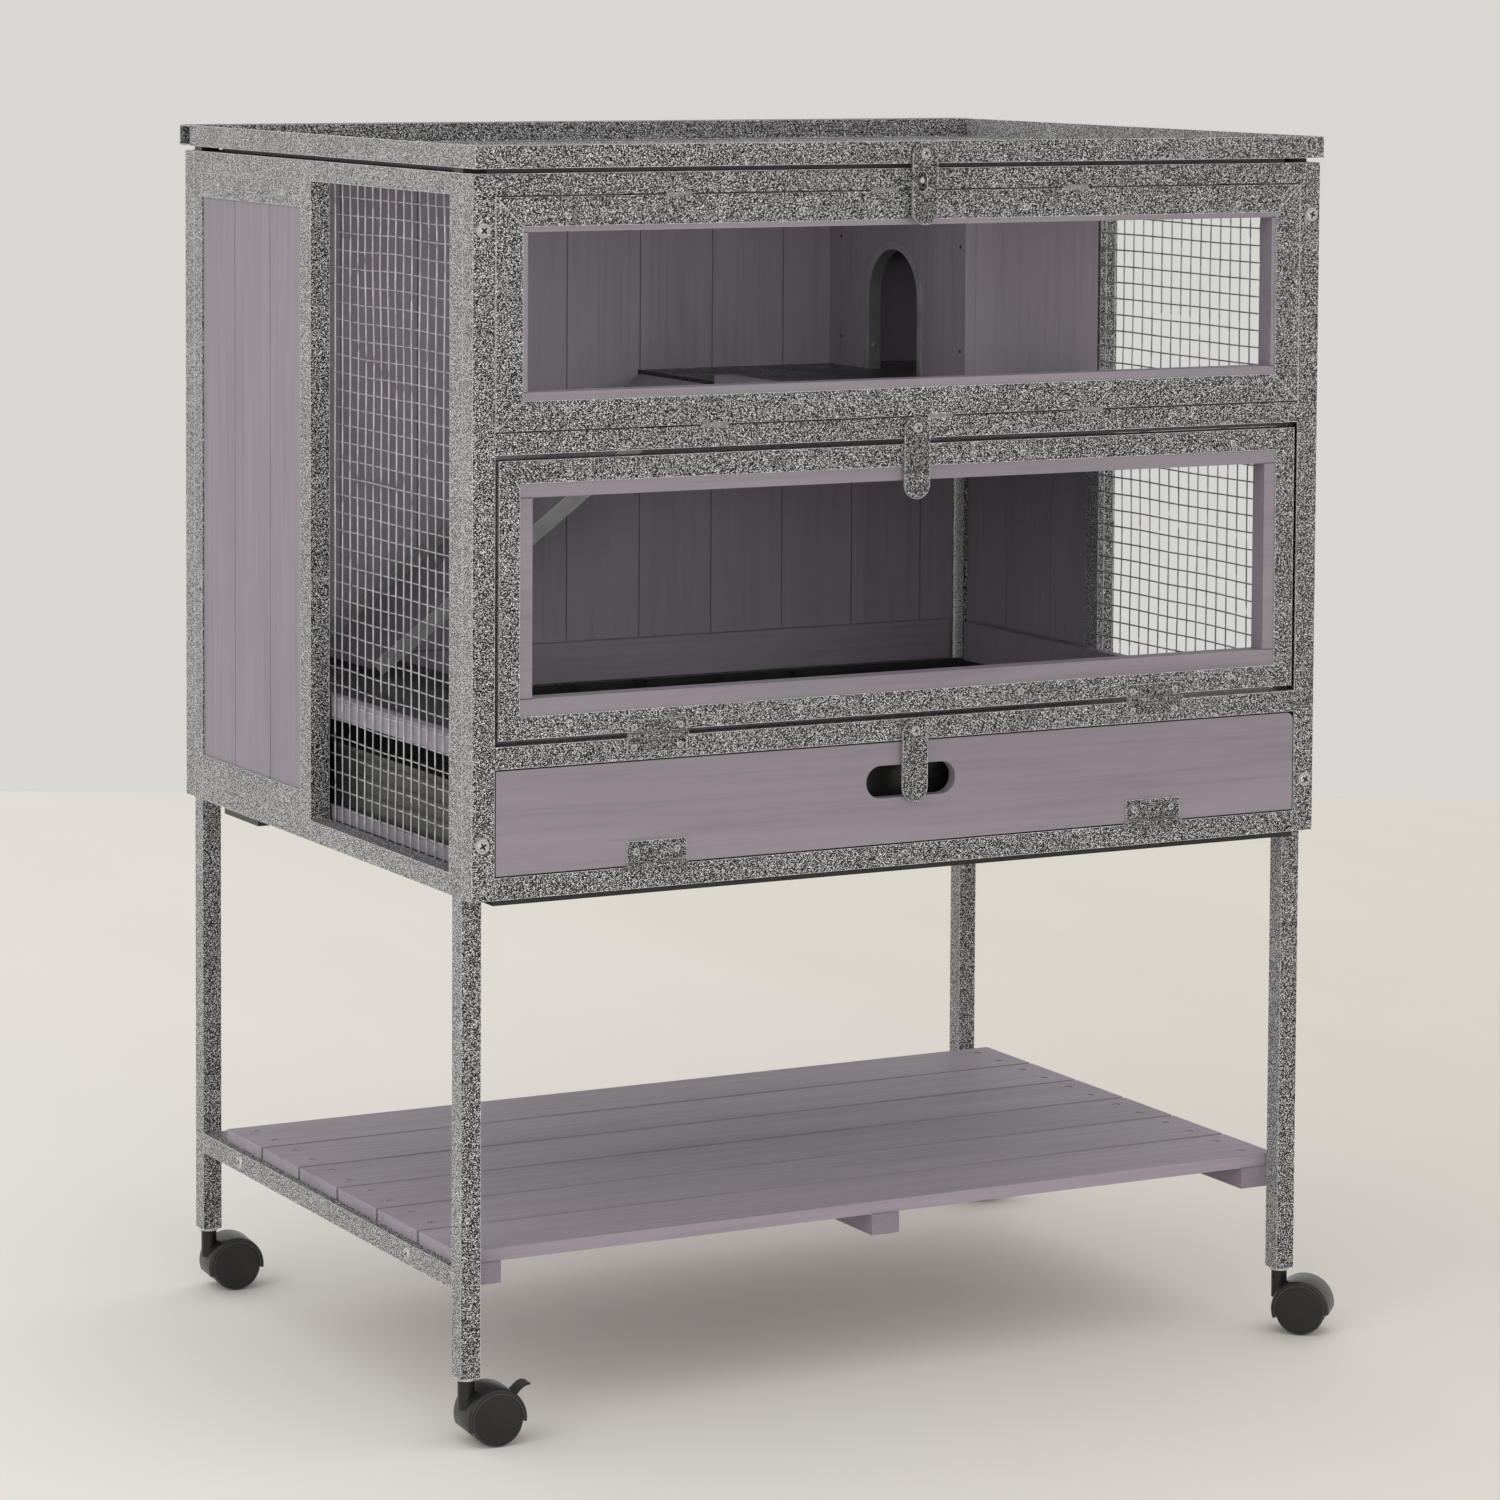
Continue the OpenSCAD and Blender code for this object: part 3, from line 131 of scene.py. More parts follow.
def maths(tree, kind, a, b=0.0, c=0.5):
    """One sum on up to three sockets or numbers."""
    made = add(tree, "ShaderNodeMath", {}, operation=kind)
    for i, value in enumerate((a, b, c)):
        if isinstance(value, bpy.types.NodeSocket):
            tree.links.new(value, made.inputs[i])
        else:
            made.inputs[i].default_value = value
    return made.outputs[0]


def bump(tree, height, distance, strength=1.0):
    """A bumped normal; distance is the relief in metres."""
    made = add(tree, "ShaderNodeBump", {"Height": height, "Distance": distance,
                                        "Strength": strength})
    return made.outputs["Normal"]


# ---------------------------------------------------------------- materials

def edge_mask(tree, width):
    """1 close to a sharp edge and 0 on the flat."""
    round_normal = add(tree, "ShaderNodeBevel", {"Radius": width}, samples=4).outputs["Normal"]
    true_normal = tree.nodes.new("ShaderNodeNewGeometry").outputs["True Normal"]
    agree = add(tree, "ShaderNodeVectorMath", {0: round_normal, 1: true_normal},
                operation="DOT_PRODUCT").outputs["Value"]
    return ramp(tree, agree, [(0.80, 1.0), (0.995, 0.0)])


def hammered_steel(name="hammered_steel", depth=1.0):
    """Silver powder coat over black: a fine worm-like speckle, paler and calmer on faces that
    look along X as painted side light, with painted highlights on sharp edges; depth scales its
    tone."""
    made, tree, shader = new_material(name)
    at = place(tree)
    slanted = add(tree, "ShaderNodeVectorRotate", {"Vector": at, "Rotation": (0.6, 0.5, 0.4)},
                  rotation_type="EULER_XYZ").outputs["Vector"]
    worms = noise(tree, slanted, 880.0, 1.0, 0.5, 0.4)
    patches = noise(tree, at, 14.0, 2.0)
    # Painted side light: faces that look along X get a paler, calmer speckle than the front
    # faces, for how the light falls on each side.
    coarse = ramp(tree, worms, [(0.43, 0.0), (0.50, 0.04), (0.56, 0.25), (0.61, 0.74)])
    side_lit_speckle = ramp(tree, worms, [(0.40, 0.02), (0.47, 0.13), (0.54, 0.34), (0.60, 0.72)])
    way = tree.nodes.new("ShaderNodeTexCoord").outputs["Normal"]
    parts = add(tree, "ShaderNodeSeparateXYZ", {"Vector": way})
    side_light_share = maths(tree, "ABSOLUTE", parts.outputs["X"])
    base = blend(tree, side_light_share, coarse, side_lit_speckle)
    shade = ramp(tree, patches, [(0.3, 0.88 * depth), (0.7, depth)])
    # Painted highlight: sharp edges are blended towards pale grey, as if they caught the light.
    painted_edge_highlight = maths(tree, "MULTIPLY", edge_mask(tree, 0.0011), 0.9)
    feed(tree, shader, {
        "Base Color": blend(tree, painted_edge_highlight, blend(tree, 1.0, base, shade, "MULTIPLY"),
                            (0.80, 0.80, 0.80)),
        "Metallic": 0.1,
        "Specular IOR Level": 0.3,
        "Roughness": ramp(tree, worms, [(0.4, 0.60), (0.6, 0.40)]),
        "Normal": bump(tree, worms, 0.0004, 0.4),
    })
    return made


def smooth_steel():
    """Plain grey coat with painted highlights along its sharp edges, on the ramp's rails."""
    made, tree, shader = new_material("smooth_steel")
    at = place(tree)
    tint = noise(tree, at, 60.0, 3.0)
    feed(tree, shader, {
        # Painted highlight: sharp edges are blended towards a pale grey.
        "Base Color": blend(tree, edge_mask(tree, 0.001),
                            ramp(tree, tint, [(0.3, 0.20), (0.7, 0.25)]), (0.62, 0.62, 0.62)),
        "Metallic": 0.3,
        "Roughness": ramp(tree, tint, [(0.3, 0.42), (0.7, 0.32)]),
    })
    return made


def galvanised_wire():
    """Dull zinc coat with a cloudy tone, on the mesh."""
    made, tree, shader = new_material("galvanised_wire")
    at = place(tree)
    tint = noise(tree, at, 90.0, 3.0)
    feed(tree, shader, {
        "Base Color": ramp(tree, tint, [(0.3, (0.38, 0.39, 0.40)), (0.7, (0.64, 0.65, 0.66))]),
        "Metallic": 0.8,
        "Roughness": ramp(tree, tint, [(0.3, 0.42), (0.7, 0.28)]),
        "Normal": bump(tree, noise(tree, at, 700.0), 0.0001, 0.4),
    })
    return made


def stained_wood(name, grain, painted_light_lift=1.0):
    """Lilac-grey stained fir; grain is 0, 1 or 2 for the axis that the fibres follow, and the
    last argument makes the stain paler, as painted light, when it is above 1. Upright boards
    have the darkest joints."""
    made, tree, shader = new_material(name)
    at = place(tree)
    broad = [8.0, 8.0, 8.0]
    broad[grain] = 0.9
    fine = [170.0, 170.0, 170.0]
    fine[grain] = 5.0
    clouds = noise(tree, scaled(tree, at, broad), 1.0, 4.0, 0.6, 0.8)
    fibres = noise(tree, scaled(tree, at, fine), 1.0, 3.0, 0.6)
    light, mid, dark = (tuple(painted_light_lift * part for part in tone) for tone in
                        ((0.294, 0.257, 0.299), (0.268, 0.234, 0.273), (0.232, 0.201, 0.237)))
    tone = ramp(tree, clouds, [(0.30, dark), (0.50, mid), (0.72, light)])
    streaks = ramp(tree, fibres, [(0.25, 0.84), (0.5, 0.97), (0.75, 1.0)])
    joint = 0.55 if grain == 2 else 0.15
    edges = maths(tree, "MULTIPLY", edge_mask(tree, 0.0012), joint)
    feed(tree, shader, {
        "Base Color": blend(tree, edges, blend(tree, 1.0, tone, streaks, "MULTIPLY"),
                            (0.06, 0.05, 0.06)),
        "Roughness": ramp(tree, fibres, [(0.3, 0.62), (0.7, 0.50)]),
        "Normal": bump(tree, fibres, 0.0003, 0.35),
    })
    return made


def black_plastic():
    """Moulded black plastic: a fine grain, patches of wear and painted highlights along its
    edges.
    """
    made, tree, shader = new_material("black_plastic")
    at = place(tree)
    grain = noise(tree, at, 900.0, 2.0)
    wear = noise(tree, at, 20.0, 4.0)
    feed(tree, shader, {
        # Painted highlight: sharp edges are blended towards a paler grey.
        "Base Color": blend(tree, maths(tree, "MULTIPLY", edge_mask(tree, 0.0008), 0.5),
                            ramp(tree, wear, [(0.3, 0.010), (0.7, 0.020)]), (0.09, 0.09, 0.09)),
        "Specular IOR Level": 0.38,
        "Roughness": ramp(tree, wear, [(0.3, 0.24), (0.7, 0.36)]),
        "Normal": bump(tree, grain, 0.0001, 0.25),
    })
    return made


def zinc():
    """Bright zinc plate: smooth, with a faint cloud in its tone."""
    made, tree, shader = new_material("zinc")
    tint = noise(tree, place(tree), 45.0, 2.0)
    feed(tree, shader, {
        "Base Color": ramp(tree, tint, [(0.3, (0.52, 0.53, 0.53)), (0.7, (0.64, 0.65, 0.65))]),
        "Metallic": 0.85,
        "Roughness": ramp(tree, tint, [(0.3, 0.34), (0.7, 0.28)]),
    })
    return made


def clear_acrylic():
    """A clear pane: it lets the light through to the rooms behind it."""
    made, tree, shader = new_material("clear_acrylic")
    haze = noise(tree, place(tree), 6.0, 2.0)
    feed(tree, shader, {
        "Base Color": (0.96, 0.97, 0.98, 1.0),
        "Transmission Weight": 1.0,
        "IOR": 1.09,
        "Roughness": ramp(tree, haze, [(0.3, 0.0), (0.9, 0.02)]),
    })
    out = tree.nodes["Material Output"]
    rays = tree.nodes.new("ShaderNodeLightPath")
    through = tree.nodes.new("ShaderNodeBsdfTransparent")
    mix = tree.nodes.new("ShaderNodeMixShader")
    soft = maths(tree, "MAXIMUM", rays.outputs["Is Shadow Ray"], rays.outputs["Is Diffuse Ray"])
    tree.links.new(soft, mix.inputs[0])
    tree.links.new(shader.outputs[0], mix.inputs[1])
    tree.links.new(through.outputs[0], mix.inputs[2])
    tree.links.new(mix.outputs[0], out.inputs["Surface"])
    return made


def dress_nodes():
    """Gives every CAD node the finish of its slot, with the grain along each board."""
    made = {"hammered_steel": hammered_steel(), "smooth_steel": smooth_steel(),
            "galvanised_wire": galvanised_wire(), "black_plastic": black_plastic(),
            "zinc": zinc(), "clear_acrylic": clear_acrylic()}
    boards = [stained_wood("stained_wood_" + "xyz"[axis], axis) for axis in range(3)]
    upright = {"side_boards", "back_boards", "nest_side_wall", "nest_front_wall"}
    deep = {"floor_rails", "tray_runners", "shelf_battens", "roof_board"}
    small = ("latch", "hook", "leaves")
    fittings = hammered_steel("hammered_steel_fittings", 0.78)
    # Painted light: the shelf planks are stained 1.22 times paler, for the light that falls on
    # the shelf.
    painted_light_planks = stained_wood("stained_wood_shelf", 0, 1.22)
    for name, o in nodes.items():
        slot = slot_of[name]
        if slot == "hammered_steel" and any(word in name for word in small):
            finish = fittings
        elif slot != "stained_wood":
            finish = made[slot]
        elif name == "shelf_planks":
            finish = painted_light_planks
        elif name in upright:
            finish = boards[2]
        elif name in deep:
            finish = boards[1]
        else:
            finish = boards[0]
        o.data.materials.clear()
        o.data.materials.append(finish)
    return made


finishes = dress_nodes()


# ---------------------------------------------------------------- small fittings

def emit(name, mesh, body, finish):
    """Makes a piece from a bmesh, in the frame's own coordinates, that rides on a body."""
    data = bpy.data.meshes.new(name)
    mesh.to_mesh(data)
    mesh.free()
    data.materials.append(finish)
    o = bpy.data.objects.new(name, data)
    bpy.context.scene.collection.objects.link(o)
    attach(o, body)
    return o


def facing(normal, at, spin=0.0):
    """The matrix that takes +Z to the normal and the origin to the point."""
    turn = Vector(normal).to_track_quat("Z", "Y").to_matrix().to_4x4()
    return Matrix.Translation(at) @ turn @ Matrix.Rotation(spin, 4, "Z")


# A screw head's profile: share of the radius, and share of the height. The dome ends at
# 0.68, and the washer runs from 0.72 to 1.
HEAD = ((0.0, 1.0), (0.09, 1.0), (0.17, 1.0), (0.25, 0.99), (0.33, 0.97), (0.41, 0.94),
        (0.50, 0.89), (0.58, 0.80), (0.64, 0.62), (0.68, 0.34), (0.72, 0.34), (0.76, 0.52),
        (0.92, 0.50), (1.0, 0.0))
CROSS_WIDE, CROSS_LONG, CROSS_DEEP = 0.11, 0.47, 0.75  # the recess, in the same shares


def add_screw(mesh, at, normal, d, proud=0.22, spin=0.6, steps=32):
    """A domed screw head with a cross recess, on a washer; proud is its height as a
    share of the diameter. The recess faces take the second material, which paints shade into
    the recess."""
    spot = facing(normal, at, spin)
    r, high = d / 2, d * proud
    loops, deep = [], set()
    for share, rise in HEAD:
        row = []
        for i in range(1 if share == 0.0 else steps):
            a = 2 * math.pi * i / steps
            x, y = share * math.cos(a), share * math.sin(a)
            z = high * rise
            near, far = sorted((abs(x), abs(y)))
            sunk = near < CROSS_WIDE and far < CROSS_LONG
            if sunk:
                z -= high * CROSS_DEEP
            row.append(mesh.verts.new(spot @ Vector((x * r, y * r, z))))
            if sunk:
                deep.add(row[-1])
        loops.append(row)
    faces = []
    for i in range(steps):
        j = (i + 1) % steps
        faces.append(mesh.faces.new((loops[0][0], loops[1][i], loops[1][j])))
        for inner, outer in zip(loops[1:], loops[2:]):
            faces.append(mesh.faces.new((inner[i], outer[i], outer[j], inner[j])))
    for face in faces:
        # Painted shade: the faces of the cross recess get the second material, black.
        if sum(v in deep for v in face.verts) > 1:
            face.material_index = 1


def screws(name, spots, body, finish, d, proud=0.22):
    """Screw heads at (place, way they face) spots, turned by different amounts."""
    mesh = bmesh.new()
    for i, (at, normal) in enumerate(spots):
        add_screw(mesh, at, normal, d, proud, spin=0.5 + 1.7 * i)
    o = emit(name, mesh, body, finish)
    # The second material is black plastic, the painted shade in the cross recess.
    o.data.materials.append(finishes["black_plastic"])
    return o


FRONT, LEFT, RIGHT, BACK, UP = ((0, -1, 0), (-1, 0, 0), (1, 0, 0), (0, 1, 0), (0, 0, 1))


def corner_screws():
    """The large screws with washers that hold the front and back frames to the side frames."""
    low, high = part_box("corner_bolts")
    r = 0.0055  # of the CAD bolt, whose middle the head keeps
    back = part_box("back_frame")[1].y
    spots = [((x, y, z), way) for x in (low.x + r, high.x - r)
             for z in (low.z + r, high.z - r) for y, way in ((corner.y, FRONT), (back, BACK))]
    o = screws("corner_screw_heads", spots, "cabinet", finishes["zinc"], 0.0145, 0.21)
    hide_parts("corner_bolts")
    for name, body in (("roof_hook_screw", "roof"), ("door_latch_screw", "cabinet"),
                       ("flap_latch_screw", "flap")):
        low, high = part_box(name)
        d, proud = high.x - low.x, 0.25
        at = ((low.x + high.x) / 2, low.y + d * proud, (low.z + high.z) / 2)
        o = screws(name + "_head", [(at, FRONT)], body, finishes["zinc"], d, proud)
        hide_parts(name)


def strip_screws():
    """Crossed heads over the screws of the steel strips at the ends of the side boards."""
    low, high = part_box("board_strips")
    inset, from_end, sunk = 0.01265, 0.0444, 0.0008
    spots = []
    for x, way in ((low.x + sunk, LEFT), (high.x - sunk, RIGHT)):
        for z in (low.z + inset, high.z - inset):
            for y in (low.y + from_end, high.y - from_end):
                spots.append(((x, y, z), way))
    screws("strip_screw_heads", spots, "cabinet", finishes["zinc"], 0.0062, 0.1)


def sash_screws():
    """Painted screws along the bars of the window and the door."""
    for node_name, body in (("window_frame", "cabinet"), ("door_frame", "door")):
        low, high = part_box(node_name)
        rise = 0.0185 if node_name == "window_frame" else 0.0125
        spots = []
        for share in (0.083, 0.36, 0.64, 0.917):
            x = low.x + share * (high.x - low.x)
            for z in (low.z + rise, high.z - rise):
                spots.append(((x, low.y, z), FRONT))
        screws(node_name + "_screws", spots, body, finishes["hammered_steel"],
               0.0065, 0.16)


def hinge_screws():
    """Two screws in each visible hinge leaf."""
    door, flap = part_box("door_hinge_leaves"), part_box("flap_hinge_leaves")
    span, leaf, pin_r = 0.061, 0.0012, 0.0021
    centres = (flap[0].x + span / 2, flap[1].x - span / 2)
    leaf_face = door[1].y - leaf
    door_pin, flap_pin = door[0].z + pin_r, flap[0].z + pin_r
    from_pin, flap_from_pin = 0.0095, 0.0143
    rows = (("door_leaf_screws", "door", door_pin + from_pin, 0.024),
            ("rail_leaf_screws", "cabinet", door_pin - from_pin, 0.024),
            ("flap_leaf_screws", "flap", flap_pin + flap_from_pin, 0.021))
    for name, body, z, side in rows:
        spots = [((x + way * side, leaf_face, z), FRONT) for x in centres for way in (-1, 1)]
        screws(name, spots, body, finishes["hammered_steel"], 0.0068, 0.2)


def shelf_screws():
    """Two sunk screws in each end of each shelf plank, and the screws of the shelf's rails."""
    low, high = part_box("shelf_planks")
    count, inset, plank, sunk = 6, 0.025, 0.090, 0.0015
    pitch = (high.y - low.y - plank) / (count - 1)
    spots = []
    for i in range(count):
        for x in (low.x + inset, high.x - inset):
            for share in (0.25, 0.75):
                spots.append(((x, low.y + i * pitch + share * plank, high.z - sunk), UP))
    screws("plank_screw_heads", spots, "cabinet", finishes["zinc"], 0.0068, 0.16)
    low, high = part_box("shelf_rails")
    middle = (low.z + high.z) / 2
    spots = [((x, low.y + share * (high.y - low.y), middle), way)
             for x, way in ((low.x, LEFT), (high.x, RIGHT)) for share in (0.165, 0.84)]
    screws("shelf_rail_screw_heads", spots, "cabinet", finishes["zinc"], 0.0125, 0.115)


def room_screws():
    """Small nails in the nest box walls and the screw in the arch's jamb."""
    side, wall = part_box("nest_side_wall"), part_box("nest_front_wall")
    heights, from_back, from_front = (1.070, 0.962), 0.024, 0.010
    spots = [((side[0].x, side[1].y - from_back, z), LEFT) for z in heights]
    spots += [((side[0].x, wall[0].y + from_front, z), LEFT) for z in heights]
    screws("nest_nails", spots, "cabinet", finishes["black_plastic"],
           0.0042, 0.2)
    low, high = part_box("arch_trim")
    trim, jamb_z = nodes["arch_trim"], 0.956
    middle = Vector(((low.x + high.x) / 2, (low.y + high.y) / 2, jamb_z))
    start = trim.matrix_world.inverted() @ middle
    hit, at = trim.ray_cast(start, Vector((0.0, 1.0, 0.0)))[:2]
    if hit:
        screws("jamb_screw", [(trim.matrix_world @ at, FRONT)], "cabinet",
               finishes["zinc"], 0.0075, 0.2)


STRIP_DEEP, STRIP_PROUD = 0.0006, 0.00025


def shadow_strip(mesh, start, end, y, z, half):
    """A thin dark strip along X, laid into the face at y, that paints a shadow line; half is
    half its height.
    """
    outline = ((STRIP_DEEP, -half), (-STRIP_PROUD, -half), (-STRIP_PROUD, half),
               (STRIP_DEEP, half))
    ends = [[mesh.verts.new((x, y + deep, z + up)) for deep, up in outline]
            for x in (start, end)]
    for k in range(4):
        j = (k + 1) % 4
        mesh.faces.new((ends[0][k], ends[0][j], ends[1][j], ends[1][k]))
    mesh.faces.new(ends[0][::-1])
    mesh.faces.new(ends[1])


def painted_shadow_seams():
    """Dark strips along the gap between the window frame and the rails above and below it: a
    painted shadow.
    """
    low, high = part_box("window_frame")
    half = 0.0008
    mesh = bmesh.new()
    for z in (low.z, high.z):
        shadow_strip(mesh, low.x, high.x, corner.y, z, half)
    emit("painted_shadow_seams", mesh, "cabinet", finishes["black_plastic"])


def lip_joint_shadows():
    """The butt joints of the wooden lips, painted as thin dark strips of shadow: the level
    pieces run the whole width.
    """
    sill, half = 0.003, 0.00035
    for name, body, wide in (("window_lip", "cabinet", 0.005), ("door_lip", "door", 0.013)):
        low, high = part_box(name)
        mesh = bmesh.new()
        for z in (low.z + wide + sill, high.z - wide):
            shadow_strip(mesh, low.x, low.x + wide, low.y, z, half)
            shadow_strip(mesh, high.x - wide, high.x, low.y, z, half)
        emit(name + "_joints", mesh, body, finishes["black_plastic"])


def weld_beads():
    """Lumpy welds of three beads between the window frame and the rails. The one behind the
    door's turn latch is flatter, to leave the latch room."""
    proud, latch_proud, pitch = 0.0020, 0.0006, 0.0085
    low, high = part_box("window_frame")
    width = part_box("front_frame")[1].x - corner.x
    mesh = bmesh.new()
    chance = random.Random(4)
    spots = [(share, high.z, proud) for share in (0.228, 0.465, 0.692)]
    spots += [(0.269, low.z, proud), (0.532, low.z, latch_proud), (0.713, low.z, proud)]
    for share, z, rise in spots:
        for k in range(3):
            x = corner.x + share * width + (k - 1) * pitch
            made = bmesh.ops.create_icosphere(mesh, subdivisions=2, radius=1.0)
            size = (chance.uniform(0.0048, 0.0068), rise, chance.uniform(0.0020, 0.0032))
            for v in made["verts"]:
                lump = 1.0 + 0.18 * math.sin(v.co.x * 5 + k) * math.cos(v.co.z * 4 + x * 900)
                v.co = Vector((x + v.co.x * size[0] * lump, corner.y + v.co.y * size[1] * lump,
                               z + v.co.z * size[2] * lump))
    emit("weld_beads", mesh, "cabinet", finishes["smooth_steel"])


# ---------------------------------------------------------------- castors

HOOD_R, HOOD_W, HOOD_ROUND, SHELL = 0.0290, 0.0228, 0.005, 0.0016
HOOD_START, HOOD_END = -6.0, 199.0  # degrees about the axle; 0 points away from the stem
HUB_R, WEB_HALF = 0.004, 0.0018
NECK_R, NECK_TOP, NECK_STEPS = 0.00775, 0.0163, 40  # the top is over the stem's lower end
WHEEL_R = 0.025
# Half of a wheel pair, as (radius, distance from the middle): tread, groove, rim and disc.
WHEEL_HALF = ((0.0, 0.0027), (0.0236, 0.0027), (0.0248, 0.0036), (WHEEL_R, 0.0060),
              (WHEEL_R, 0.0165), (0.0246, 0.0178), (0.0238, 0.0183), (0.0238, 0.0220),
              (0.0235, 0.0226), (0.0230, 0.0227), (0.0120, 0.0227), (0.0, 0.0227))
# The brake tab's middle line, as (away from the stem, up) from the axle, and its thickness.
TAB_LINE = ((0.0215, 0.0190), (0.0240, 0.0210), (0.0268, 0.0237),
            (0.0298, 0.0259), (0.0332, 0.0271), (0.0366, 0.0270))
TAB_THICK = (0.0030, 0.0029, 0.0027, 0.0026, 0.0025, 0.0016)
TAB_HALF, RIB_HALF, RIB_R = 0.0077, 0.0070, 0.0006


def finish_smooth(mesh, name, body, slot, replaced):
    """Makes a smooth-shaded piece of the slot's finish that stands for a CAD node."""
    bmesh.ops.remove_doubles(mesh, verts=mesh.verts[:], dist=1e-6)
    bmesh.ops.recalc_face_normals(mesh, faces=mesh.faces[:])
    o = emit(name, mesh, body, finishes[slot])
    for polygon in o.data.polygons:
        polygon.use_smooth = True
    o.data.set_sharp_from_angle(angle=math.radians(32))
    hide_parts(replaced)


def turned(mesh, at, outline, start=0.0, end=360.0, steps=72):
    """Turns a closed outline of (radius, width) points about the Y axis of a matrix."""
    whole = end - start > 359.9
    loops = []
    for i in range(steps if whole else steps + 1):
        a = math.radians(start + (end - start) * i / steps)
        loops.append([mesh.verts.new(at @ Vector((r * math.cos(a), w, r * math.sin(a))))
                      for r, w in outline])
    for one, two in zip(loops, loops[1:] + (loops[:1] if whole else [])):
        for k in range(len(outline)):
            j = (k + 1) % len(outline)
            if outline[k][0] > 0.0 or outline[j][0] > 0.0:
                mesh.faces.new((one[k], one[j], two[j], two[k]))
    if not whole:
        mesh.faces.new(loops[0][::-1])
        mesh.faces.new(loops[-1])


def castor_frame(name):
    """A castor's matrix at its axle, with +X away from the stem and +Y along the axle."""
    at = {j["name"]: Vector(j["pos_m"]) for j in frame["record"]["behaviour"]["joints"]}
    axle, stem = at[name + "_spin"], at[name + "_swivel"]
    along = Vector((axle.x - stem.x, axle.y - stem.y, 0.0))
    trail = along.length
    along.normalize()
    turn = Matrix((along, Vector((0, 0, 1)).cross(along), (0, 0, 1))).transposed().to_4x4()
    return Matrix.Translation(axle) @ turn, trail


def arc_corner(r, w, size, way):
    """Points of a rounded corner of an outline, from the face at w to the rim at r."""
    steps = [math.radians(90 - 22.5 * i) for i in range(5)]
    return [(r - size + size * math.cos(a), way * (w - size + size * math.sin(a)))
            for a in steps]


def castor_hood(name):
    """The moulded hood: a shell over both wheels, open at its sides, with a web and a neck."""
    at, trail = castor_frame(name)
    mesh = bmesh.new()
    inner = HOOD_R - SHELL
    rim = arc_corner(HOOD_R, HOOD_W, HOOD_ROUND, 1)
    outline = [(inner, HOOD_W)] + rim + [(r, -w) for r, w in reversed(rim)] + [(inner, -HOOD_W)]
    turned(mesh, at, outline, HOOD_START, HOOD_END)
    web = [(HUB_R, WEB_HALF), (inner, WEB_HALF), (inner, -WEB_HALF), (HUB_R, -WEB_HALF)]
    turned(mesh, at, web, HOOD_START, HOOD_END)
    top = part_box("castor_stems")[0].z + NECK_TOP - at.translation.z
    rings = ([], [])
    for i in range(NECK_STEPS):
        a = 2 * math.pi * i / NECK_STEPS
        x, y = NECK_R * math.cos(a) - trail, NECK_R * math.sin(a)
        foot = max(0.008, math.sqrt(max(0.0, (inner + 0.001) ** 2 - x * x)))
        rings[0].append(mesh.verts.new(at @ Vector((x, y, foot))))
        rings[1].append(mesh.verts.new(at @ Vector((x, y, top))))
    for i in range(NECK_STEPS):
        j = (i + 1) % NECK_STEPS
        mesh.faces.new((rings[0][i], rings[0][j], rings[1][j], rings[1][i]))
    mesh.faces.new(rings[1])
    foot = math.sqrt((inner + 0.001) ** 2 - trail * trail)
    middle = mesh.verts.new(at @ Vector((-trail, 0.0, foot)))
    for i in range(NECK_STEPS):
        mesh.faces.new((rings[0][(i + 1) % NECK_STEPS], rings[0][i], middle))
    finish_smooth(mesh, name + "_hood_shell", name + "_castor", "black_plastic",
                  name + "_castor_hood")


def castor_wheels(name):
    """Two wheels with a rounded tread, a chamfered rim, a fine groove and a flat disc."""
    at = castor_frame(name)[0]
    mesh = bmesh.new()
    for way in (-1, 1):
        turned(mesh, at, [(r, way * w) for r, w in WHEEL_HALF])
    finish_smooth(mesh, name + "_wheel_pair", name + "_wheels", "black_plastic",
                  name + "_castor_wheels")


def brake_tab(name):
    """The brake's ribbed tab, which curls up and away from the hood."""
    at = castor_frame(name)[0]
    mesh = bmesh.new()
    middle = [Vector(p) for p in TAB_LINE]
    last = len(middle) - 1
    upper, lower = [], []
    for i, p in enumerate(middle):
        along = (middle[min(i + 1, last)] - middle[max(i - 1, 0)]).normalized()
        side = Vector((-along.y, along.x)) * TAB_THICK[i] / 2
        upper.append(p + side)
        lower.append(p - side)
    outline = upper + lower[::-1]
    loops = [[mesh.verts.new(at @ Vector((p.x, w, p.y))) for p in outline]
             for w in (-TAB_HALF, TAB_HALF)]
    for k in range(len(outline)):
        j = (k + 1) % len(outline)
        mesh.faces.new((loops[0][k], loops[0][j], loops[1][j], loops[1][k]))
    mesh.faces.new(loops[0][::-1])
    mesh.faces.new(loops[1])
    rib = [(0.0, -RIB_HALF), (RIB_R, -RIB_HALF), (RIB_R, RIB_HALF), (0.0, RIB_HALF)]
    for a, b in zip(upper[:last - 1], upper[1:last]):
        for share in (0.25, 0.75):
            p = a.lerp(b, share)
            turned(mesh, at @ Matrix.Translation((p.x, 0.0, p.y)), rib, steps=10)
    finish_smooth(mesh, name + "_brake_tab", name + "_brake_lever", "black_plastic",
                  name + "_brake")


def castors():
    """All four castors. Only the front left and the back right one have a brake."""
    for name in ("front_left", "back_left", "front_right", "back_right"):
        castor_hood(name)
        castor_wheels(name)
    brake_tab("front_left")
    brake_tab("back_right")


# ---------------------------------------------------------------- wire mesh

EDGE_HOLD = 0.05  # the waves fade out over this distance from the panel's edges
WAVE_OUT, WAVE_SIDE, LEAN = 0.0018, 0.0022, 0.0008
UPRIGHT_STEPS, LEVEL_STEPS = 60, 40


def noise_at(at):
    """Smooth noise of about -1 to 1, the same on every run."""
    return noise_of.noise(Vector(at))


